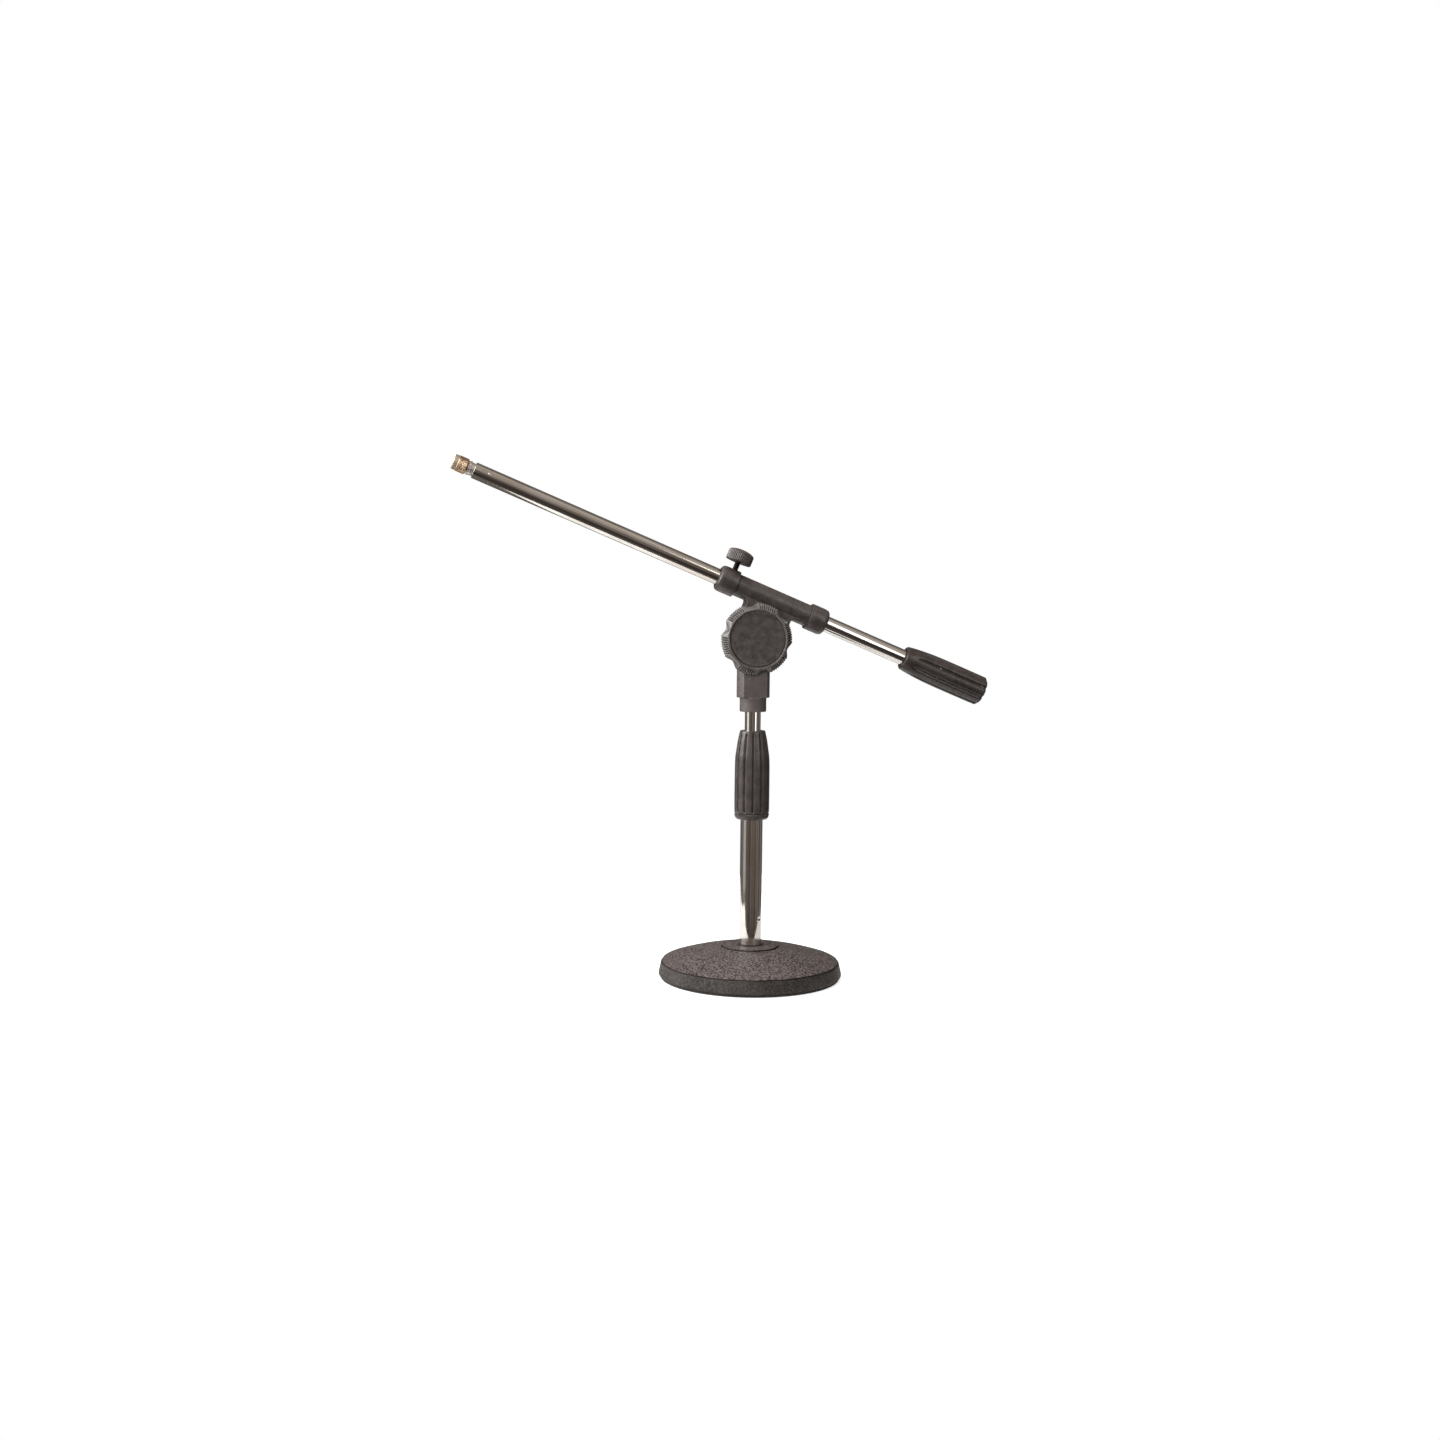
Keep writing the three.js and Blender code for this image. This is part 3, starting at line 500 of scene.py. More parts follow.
def plastic(name, dark, light, rough, own=True, edge_wear_and_glint=0.6):
    """Satin moulded plastic: fine spark texture, faint mottling, scuffs, sharp edges lightened for wear
    and as a painted highlight, and painted shade in grooves and inner corners.
    """
    paint = Paint(name, own)
    grain = paint.noise(2.2, 2, 0.6)
    mottle = paint.noise(0.12, 5, 0.6)
    scuffs = paint.spread(paint.noise(0.5, 6, 0.7, (1, 1, 0.35)), 0.58, 0.72)
    colour = paint.blend(paint.spread(mottle, 0.3, 0.7), dark, light)
    # Sharp edges lightened up to 3.2 times the light tone: edge wear and a painted highlight.
    wear_and_glint_edges = paint.math("MULTIPLY", paint.edges(), paint.spread(mottle, 0.35, 0.6, 0.5 * edge_wear_and_glint, edge_wear_and_glint))
    colour = paint.blend(wear_and_glint_edges, colour, tuple(min(1.0, 3.2 * c) for c in light))
    colour = paint.blend(paint.math("MULTIPLY", scuffs, 0.25), colour, tuple(1.6 * c for c in light))
    # Painted shade: the bottom of grooves and inner corners darkened to a quarter of the dark tone.
    colour = paint.blend(paint.hollows(), colour, tuple(0.25 * c for c in dark))
    roughness = paint.spread(paint.noise(0.35, 4), 0.3, 0.7, rough - 0.07, rough + 0.08)
    normal = paint.bump(grain, 0.05, 0.55)
    normal = paint.bump(mottle, 0.25, 0.25, normal)
    return paint.set(
        Base_Color=colour, Roughness=roughness, Normal=normal, Specular_IOR_Level=0.65,
    )


def turned_plastic(name, dark, light):
    """Moulded face with fine turned rings, and sharp edges lightened for wear and as a painted highlight.
    """
    paint = Paint(name)
    mottle = paint.noise(0.16, 5, 0.65)
    grain = paint.noise(2.0, 2, 0.6)
    rings = paint.bands(paint.radius(), 2.4)
    colour = paint.blend(paint.spread(mottle, 0.32, 0.68), dark, light)
    # Sharp edges lightened to twice the light tone: edge wear and a painted highlight.
    colour = paint.blend(paint.math("MULTIPLY", paint.edges(), 0.5), colour, tuple(2 * c for c in light))
    roughness = paint.spread(mottle, 0.3, 0.7, 0.36, 0.48)
    normal = paint.bump(rings, 0.10, 0.5)
    normal = paint.bump(grain, 0.05, 0.5, normal)
    return paint.set(Base_Color=colour, Roughness=roughness, Normal=normal, Specular_IOR_Level=0.7)


def chrome(name):
    """Plated tube: mirror finish dulled by fine lengthwise rubbing, haze and a few specks."""
    paint = Paint(name)
    rubbing = paint.noise(1.6, 3, 0.6, (1, 1, 0.02))
    haze = paint.noise(0.05, 4, 0.55, (1, 1, 0.4))
    specks = paint.spread(paint.cells(0.32), 0.05, 0.1, 1.0, 0.0)
    pits = paint.math("MULTIPLY", specks, paint.spread(paint.noise(0.09, 2), 0.55, 0.65))
    colour = paint.blend(paint.spread(haze, 0.35, 0.7), (0.80, 0.78, 0.75), (0.66, 0.62, 0.57))
    colour = paint.blend(pits, colour, (0.16, 0.12, 0.09))
    dull = paint.math("ADD", paint.spread(haze, 0.3, 0.75, 0.05, 0.13),
                      paint.spread(rubbing, 0.4, 0.8, 0.0, 0.07))
    roughness = paint.math("ADD", dull, paint.math("MULTIPLY", pits, 0.4))
    normal = paint.bump(rubbing, 0.012, 0.25)
    return paint.set(Base_Color=colour, Metallic=1.0, Roughness=roughness, Normal=normal)


def turned_metal(name, bright, dull, rough, tarnish, own=True):
    """Machined metal: fine rings from the tool, tarnish in patches, brighter edges."""
    paint = Paint(name, own)
    rings = paint.noise(7.0, 2, 0.6, (0.05, 0.05, 1))
    patches = paint.noise(0.45, 5, 0.6)
    colour = paint.blend(paint.spread(patches, 0.38, 0.66), bright, dull)
    colour = paint.blend(paint.math("MULTIPLY", paint.edges(0.5, 0.58), 0.5), colour, bright)
    roughness = paint.math("ADD", paint.spread(patches, 0.3, 0.7, rough, rough + tarnish),
                           paint.spread(rings, 0.35, 0.75, 0.0, 0.08))
    normal = paint.bump(rings, 0.03, 0.4)
    return paint.set(Base_Color=colour, Metallic=1.0, Roughness=roughness, Normal=normal)


BRASS_LIP = 4.6
EDGE_LINE = 15.9
BOSS_LINE = 28.3
PEBBLES_PER_MM = 0.5


def brass_fitting(name):
    """A bright turned lip in front, and a darker, tarnished thread behind it."""
    paint = Paint(name)
    lip_end = span("thread_adapter", BOOM)[0] + BRASS_LIP
    behind = paint.spread(paint.height(), lip_end - 0.3, lip_end + 0.3)
    patches = paint.spread(paint.noise(0.30, 4, 0.55), 0.35, 0.68)
    lip = paint.blend(patches, (0.93, 0.82, 0.64), (0.80, 0.66, 0.46))
    body = paint.blend(patches, (0.70, 0.53, 0.37), (0.46, 0.31, 0.20))
    roughness = paint.spread(patches, 0.0, 1.0, 0.46, 0.58)
    return paint.set(
        Base_Color=paint.blend(behind, lip, body), Metallic=1.0, Roughness=roughness,
        Normal=paint.bump(paint.noise(2.0, 3), 0.03, 0.3),
    )


def enamelled_iron(name):
    """Sand-cast iron under satin enamel: a pebbled skin, lighter in chips where the enamel wears through,
    with painted shade on its side, along its edge groove and round its boss.
    """
    paint = Paint(name)
    pebble = paint.noise(PEBBLES_PER_MM, 3, 0.6)
    sand = paint.noise(2.6, 2, 0.6)
    clouds = paint.noise(0.03, 4, 0.5)
    # Painted shade: the narrow side below the edge is coloured about a quarter as light as the top.
    band = paint.spread(paint.height(), 15.5, 17.2)
    raised = paint.spread(pebble, 0.36, 0.64)
    top = paint.blend(raised, (0.004, 0.003, 0.003), (0.136, 0.112, 0.107))
    side = paint.blend(raised, (0.004, 0.003, 0.003), (0.034, 0.028, 0.025))
    colour = paint.blend(band, side, top)
    # Painted shade: dark lines along the edge groove between top and side, and round the foot of the
    # boss; these lines are also made rougher.
    at_edge = paint.math("ABSOLUTE", paint.math("SUBTRACT", paint.height(), EDGE_LINE), 0)
    at_boss = paint.math("ABSOLUTE", paint.math("SUBTRACT", paint.radius(), BOSS_LINE), 0)
    shade_lines = paint.math("MAXIMUM", paint.spread(at_edge, 0.75, 0.2), paint.spread(at_boss, 0.6, 0.25))
    colour = paint.blend(shade_lines, colour, (0.010, 0.008, 0.007))
    colour = paint.blend(paint.spread(clouds, 0.42, 0.7, 0.0, 0.25), colour, (0.090, 0.077, 0.073))
    chips = paint.spread(paint.noise(0.4, 6, 0.75), 0.70, 0.74)
    colour = paint.blend(paint.math("MULTIPLY", chips, 0.5), colour, (0.24, 0.21, 0.18))
    roughness = paint.spread(sand, 0.3, 0.7, 0.42, 0.60)
    normal = paint.bump(pebble, 0.8, 0.9)
    normal = paint.bump(sand, 0.08, 0.5, normal)
    roughness = paint.math("ADD", roughness, paint.math("MULTIPLY", shade_lines, 0.4))
    return paint.set(Base_Color=colour, Roughness=roughness, Normal=normal, Specular_IOR_Level=0.4)


def rubber(name):
    """Matt black rubber with a little dust on it."""
    paint = Paint(name)
    dust = paint.noise(0.25, 6, 0.7)
    grain = paint.noise(1.8, 3)
    colour = paint.blend(paint.spread(dust, 0.4, 0.75), (0.016, 0.015, 0.014), (0.045, 0.042, 0.038))
    roughness = paint.spread(grain, 0.3, 0.7, 0.72, 0.9)
    return paint.set(Base_Color=colour, Roughness=roughness, Normal=paint.bump(grain, 0.08, 0.5))


BLACK = plastic("black_plastic", (0.036, 0.030, 0.028), (0.062, 0.052, 0.049), 0.34, edge_wear_and_glint=0.4)
# Painted shade: a darker copy of the black plastic for the counterweight sleeve.
SHADED_WEIGHT_PLASTIC = plastic(
    "shaded_weight_plastic", (0.020, 0.015, 0.013), (0.042, 0.033, 0.030), 0.34, edge_wear_and_glint=0.2,
)
# Painted light: a lighter copy of the black plastic, with full edge lightening, so the knob's rims read
# as lit.
LIT_KNOB_PLASTIC = plastic(
    "lit_knob_plastic", (0.066, 0.058, 0.055), (0.112, 0.101, 0.096), 0.34, edge_wear_and_glint=1.0,
)
FACE = turned_plastic("knob_face_plastic", (0.030, 0.025, 0.024), (0.064, 0.054, 0.051))
# Painted light: a lighter copy of the black plastic, standing in for the light on the hinge post's front
# faces.
LIT_POST_PLASTIC = plastic("lit_post_plastic", (0.072, 0.060, 0.058), (0.100, 0.085, 0.082), 0.42)
GREY = plastic("grey_plastic", (0.30, 0.29, 0.28), (0.40, 0.39, 0.37), 0.5, own=False)
CHROME = chrome("chrome")
IRON = enamelled_iron("enamelled_iron")
RUBBER = rubber("rubber")
STEEL = turned_metal("zinc_steel", (0.80, 0.78, 0.75), (0.56, 0.53, 0.50), 0.22, 0.18)
HIDDEN_STEEL = turned_metal(
    "plain_steel", (0.56, 0.55, 0.53), (0.38, 0.36, 0.34), 0.3, 0.2, own=False,
)
NICKEL = turned_metal("nickel_plate", (0.94, 0.91, 0.86), (0.80, 0.76, 0.70), 0.40, 0.12)
DARK_STEEL = turned_metal("blackened_steel", (0.13, 0.12, 0.11), (0.07, 0.06, 0.055), 0.35, 0.2)
BRASS = brass_fitting("brass")
HIDDEN_BRASS = turned_metal(
    "plain_brass", (0.80, 0.62, 0.35), (0.52, 0.37, 0.20), 0.3, 0.2, own=False,
)

HIDDEN = (
    (HIDDEN_STEEL, (
        "foot_plug", "foot_lock_washer", "foot_lock_nut", "clutch_ferrule", "top_plug",
        "counterweight_core",
    )),
    (GREY, ("clutch_collet", "glide_bush", "boom_bush")),
    (HIDDEN_BRASS, ("knob_insert", "pressure_pad")),
)
for material, names in HIDDEN:
    for node in names:
        mesh = frame["nodes"][node].data
        mesh.materials.clear()
        mesh.materials.append(material)

# ---------------- base

BASE_EDGE_HEIGHT = 16.7
BASE_EDGE_RADIUS = 89.2
BOSS_RADIUS = 28.0
BOSS_RISE = 1.6
DOME_RISE = 1.6
DOME_STEPS = 28
POCKET_RADIUS = 16
POCKET_DEPTH = 12
GAP = 0.3
PAD_GROOVES = (24, 44, 64, 80)


def make_base_casting():
    """The round base: pocketed foot, narrow side, crowned top, and a boss round the tube."""
    foot, top, radius = extent("base_plate", COLUMN)
    inner = bore("base_plate", COLUMN)
    washer_radius = reach("foot_washer", COLUMN)
    seat = span("foot_washer", COLUMN)[0] - GAP
    dome_top = top - BOSS_RISE
    dome = []
    for i in range(1, DOME_STEPS):
        share = i / DOME_STEPS
        rise = DOME_RISE * math.sin(math.pi * share)
        dome.append((
            BASE_EDGE_RADIUS + (BOSS_RADIUS - BASE_EDGE_RADIUS) * share,
            BASE_EDGE_HEIGHT + (dome_top - BASE_EDGE_HEIGHT) * share + rise,
            0,
        ))
    underside = [
        (inner, foot + POCKET_DEPTH), (POCKET_RADIUS, foot + POCKET_DEPTH), (POCKET_RADIUS, foot),
        (radius - 1.1, foot, 0.5), (radius, foot + 1.2, 0.9),
    ]
    edge_groove = [
        (BASE_EDGE_RADIUS + 0.3, BASE_EDGE_HEIGHT - 1.5, 0.35),
        (BASE_EDGE_RADIUS - 1.3, BASE_EDGE_HEIGHT - 1.2, 0.2),
        (BASE_EDGE_RADIUS - 1.1, BASE_EDGE_HEIGHT - 0.4, 0.3),
        (BASE_EDGE_RADIUS - 0.9, BASE_EDGE_HEIGHT, 0.3),
    ]
    boss = [
        (BOSS_RADIUS + 1.1, dome_top + 0.05, 0.3), (BOSS_RADIUS + 0.6, dome_top - 0.7, 0.2),
        (BOSS_RADIUS + 0.1, dome_top - 0.6, 0.2), (BOSS_RADIUS - 0.15, top, 0.35),
        (washer_radius + GAP, top, 0.5), (washer_radius + GAP, seat), (inner, seat),
    ]
    outline = soften([*underside, *edge_groove, *dome, *boss], closed=True)
    sweep("base_casting", COLUMN, refine(outline, 1.2, foot + 0.5, closed=True), 288, "base", IRON,
          ["base_plate"], "cast_iron_enamel", closed=True)


def make_base_rubber():
    """The grooved pad under the base, and the dark ring between the boss and the tube."""
    _, pad_top, pad_radius = extent("base_pad", COLUMN)
    grooves = []
    for middle in PAD_GROOVES:
        grooves += [(middle - 1.6, 0), (middle - 0.9, 0.6), (middle + 0.9, 0.6), (middle + 1.6, 0)]
    outline = soften([
        (0, 0), *grooves, (pad_radius, 0, 0.5), (pad_radius, pad_top, 0.4), (0, pad_top),
    ])
    sweep("anti_slip_pad", COLUMN, outline, 192, "base", RUBBER, ["base_pad"], "rubber")

    inner = bore("base_plate", COLUMN)
    low, high, radius = extent("foot_washer", COLUMN)
    outline = soften([(inner, low), (radius, low), (radius, high, 0.4), (inner, high)], closed=True)
    sweep("foot_seal", COLUMN, outline, 96, "base", RUBBER, ["foot_washer"], "rubber", closed=True)


# ---------------- column and clutch

TUBE_WALL = 1.2
DIMPLE_HEIGHT = 60.0
DIMPLE_FACING = math.radians(40.5)
DIMPLE_SIZE = 1.8
DIMPLE_DEPTH = 0.45


def tube_outline(node, marks=()):
    """A tube's wall. `marks` are the outside heights between which the wall can be refined."""
    low, high, outer = extent(node, COLUMN)
    inner = outer - TUBE_WALL
    return soften([
        (inner, low, 0.3), (outer, low, 0.45), *[(outer, mark, 0) for mark in marks],
        (outer, high, 0.45), (inner, high, 0.3),
    ], closed=True)


def make_column():
    """The column's two tubes. The outer one has a stake mark near its foot."""
    surface = reach("outer_tube", COLUMN)

    def stake(r, h, a):
        marked = dent(r, h, a, DIMPLE_FACING, DIMPLE_HEIGHT, DIMPLE_SIZE, DIMPLE_DEPTH)
        return np.where(r > surface - 0.7, marked, r), h

    near = 6.0
    marks = DIMPLE_HEIGHT - near, DIMPLE_HEIGHT + near
    outline = refine(tube_outline("outer_tube", marks), 0.45, *marks, closed=True)
    sweep("column_tube", COLUMN, outline, 192, "base", CHROME, ["outer_tube"], "chrome_tube",
          closed=True, relief=stake)
    sweep("telescopic_tube", COLUMN, tube_outline("inner_tube"), 128, "mast", CHROME,
          ["inner_tube"], "chrome_tube", closed=True)


def fluted(count, first, low, high, fade_low, fade_high, depth, wide, crown, square):
    """Narrow grooves evenly round a grip, with rounded lobes between them.

    `square` sets the groove's section: 2 is round, and more is flatter with steeper sides.
    """
    pitch = TURN / count

    def relief(r, h, a):
        aside = np.mod(a - first + pitch / 2, pitch) - pitch / 2
        groove = np.exp(-(np.abs(aside) * r / wide) ** square)
        hollow = np.maximum(0, np.cos(aside / pitch * TURN))
        window = step_up(h, low, low + fade_low) * (1 - step_up(h, high - fade_high, high))
        outside = step_up(r, 11.6, 12.0)
        return r - outside * window * (depth * groove + crown * hollow), h
    return relief


CLUTCH_FLUTES = 12
CLUTCH_GROOVE = math.radians(21)
NOTCHES = 72
NOTCH_DEPTH = 0.5


def make_clutch():
    """The fluted twist grip, with a notched band round its foot."""
    low, high = span("clutch_grip", COLUMN)
    throat = bore("clutch_grip", COLUMN)
    body = curve_through([
        (17.35, low + 7.2), (17.5, low + 17), (17.5, low + 34), (17.4, low + 52), (17.05, low + 62),
        (16.1, low + 69), (15.4, low + 74), (14.6, low + 79), (13.55, low + 84), (12.75, high - 1.0),
    ], 8)
    outline = soften([
        (13.4, low, 0.4), (15.4, low, 0.9), (16.75, low + 1.9, 1.2), (17.35, low + 4.6, 0.8),
        (17.3, low + 5.4, 0.3), (16.5, low + 5.9, 0.2), (16.5, low + 6.4, 0.2),
        (17.3, low + 6.8, 0.3), *[(r, h, 0) for r, h in body],
        (12.3, high, 0.5), (throat, high, 0.4), (throat, low + 70), (13.4, low + 57),
    ], closed=True)
    outline = refine(outline, 1.2, low + 1, high, closed=True)
    flutes = fluted(
        CLUTCH_FLUTES, CLUTCH_GROOVE, low + 6.6, high - 1.2, fade_low=1.4, fade_high=4,
        depth=1.2, wide=0.8, crown=0.55, square=3,
    )

    def relief(r, h, a):
        r, h = flutes(r, h, a)
        ridge = 0.5 + 0.5 * np.cos(a * NOTCHES)
        window = step_up(h, low + 3.6, low + 4.6) * (1 - step_up(h, low + 5.8, low + 6.6))
        return r - NOTCH_DEPTH * ridge * window * (r > 15), h

    sweep("clutch_handle", COLUMN, outline, 576, "clutch", BLACK, ["clutch_grip"], "black_plastic",
          closed=True, relief=relief)


# ---------------- hinge

SOCKET_RADIUS = 16.45
SOCKET_NECK_RADIUS = 13.25
SOCKET_NECK_HEIGHT = 14.0
SOCKET_FRONT = 11.6
CHEEK_FACE = 0.9
SWING_CLEARANCE = 1.2
HALF_SIDE = 60
ROUND_CHEEK_COLUMNS = 160


def box_outline(shift):
    """A large square, moved along y by `shift`."""
    corners = ((-1, -1), (1, -1), (1, 1), (-1, 1))
    return [(HALF_SIDE * x, HALF_SIDE * y + shift) for x, y in corners]


def make_socket():
    """The hinge's lower half: round neck, flat-sided post and round cheek."""
    low = span("hinge_socket", POST)[0]
    place = in_axis("hinge_socket", POST)
    back = float(place[:, 1].max())
    cheek_radius = float(place[:, 2].max())
    shoulder = low + SOCKET_NECK_HEIGHT
    swing = cheek_radius + SWING_CLEARANCE
    to_back = Matrix.Rotation(-math.pi / 2, 4, "X")
    post = rod(SOCKET_RADIUS, shoulder, 0)
    for shift, foot in (
        (CHEEK_FACE - HALF_SIDE, -swing),
        (-HALF_SIDE - SOCKET_FRONT, shoulder - 1),
        (HALF_SIDE + back, shoulder - 1),
    ):
        combine(post, prism(box_outline(shift), foot, HALF_SIDE), "DIFFERENCE")
    neck = rod(SOCKET_NECK_RADIUS, low, shoulder + 0.2)
    cheek = rod(cheek_radius, CHEEK_FACE, back, to_back, ROUND_CHEEK_COLUMNS)
    cuts = [
        rod(8.15, low - 1, low + 22),
        rod(4.2, CHEEK_FACE - 1, back + 1, to_back, 48),
        prism(hexagon(13.7), 6.6, back + 1, to_back),
    ]

    def settle(p):
        """Puts the round and flat faces back exactly where smoothing moved them a little."""
        radius = np.hypot(p[:, 0], p[:, 1])
        for target, above, below in (
            (SOCKET_RADIUS, shoulder + 1.2, -swing - 3),
            (SOCKET_NECK_RADIUS, low + 1.2, shoulder - 1),
        ):
            hit = (np.abs(radius - target) < 0.35) & (p[:, 2] > above) & (p[:, 2] < below)
            p[hit, :2] *= (target / radius[hit])[:, None]
        for target in (-SOCKET_FRONT, back, CHEEK_FACE):
            hit = (np.abs(p[:, 1] - target) < 0.14) & (p[:, 2] > shoulder + 1)
            p[hit, 1] = target
        return p

    moulded("hinge_post", [post, neck, cheek], cuts, settle, POST, "mast", LIT_POST_PLASTIC,
            ["hinge_socket"], "black_plastic")


HEAD_ACROSS = 13.0
HEAD_HEIGHT = 5.5


def make_bolt():
    """The hinge's bolt, with a chamfered hexagon head."""
    low, high = span("hinge_bolt", HINGE)
    head_foot = low + HEAD_HEIGHT
    corner = HEAD_ACROSS / math.sqrt(3)

    def hex_head(r, h, a):
        flat = HEAD_ACROSS / 2 / np.cos(np.mod(a, TURN / 6) - TURN / 12)
        return np.where(h < head_foot + 0.01, np.minimum(r, flat), r), h

    outline = soften([
        (0, low), (5.6, low, 0), (corner, low + 1.0, 0), (corner, head_foot, 0.15),
        (4, head_foot), (4, high - 0.8), (3.3, high), (0, high),
    ])
    sweep("pivot_bolt", HINGE, refine(outline, 0.5, low, head_foot), 144, "mast", STEEL,
          ["hinge_bolt"], "steel", relief=hex_head)


BOLT_BORE = 4.3


def make_discs():
    """The friction disc between the cheeks, and the washer under the knob."""
    for name, node, body, material, slot in (
        ("friction_pad", "friction_disc", "mast", BLACK, "grey_plastic"),
        ("thrust_washer", "knob_washer", "washer", STEEL, "steel"),
    ):
        low, high = span(node, HINGE)
        outline = soften([
            (BOLT_BORE, low, 0.15), (reach(node, HINGE), low, 0.25),
            (reach(node, HINGE), high, 0.25), (BOLT_BORE, high, 0.15),
        ], closed=True)
        sweep(name, HINGE, outline, 128, body, material, [node], slot, closed=True)


LOBES = 6
LOBE_PITCH = TURN / LOBES
FIRST_LOBE = math.radians(12)
LOBE_DEPTH = 3.5
HOLLOW_SHARE = 0.26
RIBS_PER_LOBE = 8
RIB_PITCH = math.radians(3.9)
RIB_DEPTH = 1.0
RIB_FACE_DEPTH = 0.9
KNOB_COLUMNS = 1080


def make_knob():
    """The lobed hand knob with its ribs, and the round disc let into its face."""
    back, face, outer = extent("hinge_knob", HINGE)
    cap_low, cap_face, cap = extent("knob_cap", HINGE)
    floor = cap_low - GAP
    hub = 4.7

    def relief(r, h, a):
        phase = np.mod(a - FIRST_LOBE + LOBE_PITCH / 2, LOBE_PITCH) - LOBE_PITCH / 2
        from_hollow = np.abs(np.abs(phase) - LOBE_PITCH / 2) / (LOBE_PITCH * HOLLOW_SHARE)
        hollow = np.where(from_hollow < 1, np.cos(from_hollow * math.pi / 2) ** 2, 0)
        outward = step_up(r, 28.9, outer)
        ribbed = RIBS_PER_LOBE * RIB_PITCH / 2
        on_lobe = 1 - step_up(np.abs(phase), ribbed - 0.01, ribbed + 0.01)
        wave = 0.5 + 0.5 * np.cos(phase / RIB_PITCH * TURN)
        rib = (1 - wave ** 0.8) * on_lobe * step_up(r, 30.0, 31.2)
        sunk = RIB_FACE_DEPTH * rib * step_up(h, back + 3, back + 5)
        return r - outward * LOBE_DEPTH * hollow - RIB_DEPTH * rib, h - sunk

    outline = soften([
        (hub, back, 0.3), (14, back, 0.3), (14.6, back + 0.8, 0.3), (29, back + 0.8, 0.3),
        (29.6, back, 0.3), (outer - 0.4, back, 0.5), (outer, back + 0.7, 0.5), (outer, back + 2.0, 0.9),
        (30.6, face - 0.5, 0.9), (29.6, face, 0.5), (cap + 1.3, face, 0.5), (cap + 0.7, face - 0.8, 0.3),
        (cap + 0.55, floor, 0.2), (hub, floor, 0.3),
    ], closed=True)
    outline = refine(outline, 0.6, back + 0.5, face + 0.1, closed=True)
    sweep("hand_knob", HINGE, outline, KNOB_COLUMNS, "knob", LIT_KNOB_PLASTIC, ["hinge_knob"],
          "black_plastic", closed=True, relief=relief)

    outline = soften([
        (0, cap_low), (cap, cap_low), (cap, cap_face, 0.35), (cap - 1.6, cap_face, 0.6),
        (cap - 2.6, cap_face - 0.22, 0.8), (0, cap_face - 0.35),
    ])
    sweep("knob_face_disc", HINGE, refine(outline, 2.0), 192, "knob", FACE, ["knob_cap"],
          "black_plastic")


# ---------------- boom clamp

BARREL_RADIUS = 11.0
NECK_WIDTH = 48.0
NECK_MIDDLE = 1.7
NECK_FILLET = 7.0
CHEEK_RADIUS = 24.0
CHEEK_BACK = 10.5
THICK_NECK_FOOT = 20
BOOM_BORE = 8.3
SCREW_HOLE = 3.3
COLLAR_WALL = 3.2


def neck_outline():
    """Side view of the neck, from the hinge's middle up into the barrel, with hollow fillets."""
    half = NECK_WIDTH / 2
    start = BOOM_OFFSET - 2 * NECK_FILLET
    right = [
        (NECK_MIDDLE + half + NECK_FILLET * (1 - math.cos(t)), start + NECK_FILLET * math.sin(t))
        for t in np.linspace(0, math.pi / 2, 10)
    ]
    left = [(2 * NECK_MIDDLE - x, y) for x, y in reversed(right)]
    return [(NECK_MIDDLE - half, 0), (NECK_MIDDLE + half, 0), *right, *left]


def make_clamp():
    """The hinge's upper half. Here x runs along the boom to the rear and z away from the hinge."""
    front = Matrix.Rotation(math.pi / 2, 4, "X")
    low, high = span("boom_clamp", BOOM)
    along_boom = Matrix.Translation((0, 0, BOOM_OFFSET)) @ Matrix.Rotation(math.pi / 2, 4, "Y")
    thick = prism(neck_outline(), 1 - CHEEK_BACK, CHEEK_BACK, front)
    combine(thick, prism(box_outline(0), -HALF_SIDE, THICK_NECK_FOOT), "DIFFERENCE")
    swing = CHEEK_RADIUS + SWING_CLEARANCE
    swept = rod(swing, -CHEEK_BACK - 1, CHEEK_FACE, front, ROUND_CHEEK_COLUMNS)
    combine(thick, swept, "DIFFERENCE")
    added = [
        rod(BARREL_RADIUS, low, high, along_boom, ROUND_CHEEK_COLUMNS),
        prism(neck_outline(), CHEEK_FACE, CHEEK_BACK, front),
        thick,
        rod(CHEEK_RADIUS, CHEEK_FACE, CHEEK_BACK, front, ROUND_CHEEK_COLUMNS),
    ]
    screw_at = in_axis("lock_screw_shank", CLAMP)[:, 0].mean()
    removed = [
        rod(BOOM_BORE, low - 1, high + 1, along_boom),
        rod(BOLT_BORE, 0, CHEEK_BACK + 1, front, 48),
        prism(circle(SCREW_HOLE, 48, x=screw_at), BOOM_OFFSET, BOOM_OFFSET + 20),
    ]

    def settle(p):
        """Puts the barrel and the flat cheek back exactly where smoothing moved them a little."""
        radius = np.hypot(p[:, 1], p[:, 2] - BOOM_OFFSET)
        hit = (np.abs(radius - BARREL_RADIUS) < 0.3) & (p[:, 0] > low + 1) & (p[:, 0] < high - 1)
        scale = BARREL_RADIUS / radius[hit]
        p[hit, 1] *= scale
        p[hit, 2] = BOOM_OFFSET + (p[hit, 2] - BOOM_OFFSET) * scale
        for target in (-CHEEK_BACK, -CHEEK_FACE):
            p[np.abs(p[:, 1] - target) < 0.14, 1] = target
        return p

    moulded("clamp_body", added, removed, settle, CLAMP, "clamp", BLACK, ["boom_clamp"],
            "black_plastic")

    to_screw = Matrix.Translation((0, 0, screw_at)) @ Matrix.Rotation(math.pi / 2, 4, "Y")
    make_collars(rod(SCREW_HOLE, 0, BARREL_RADIUS + 10, to_screw, 48))


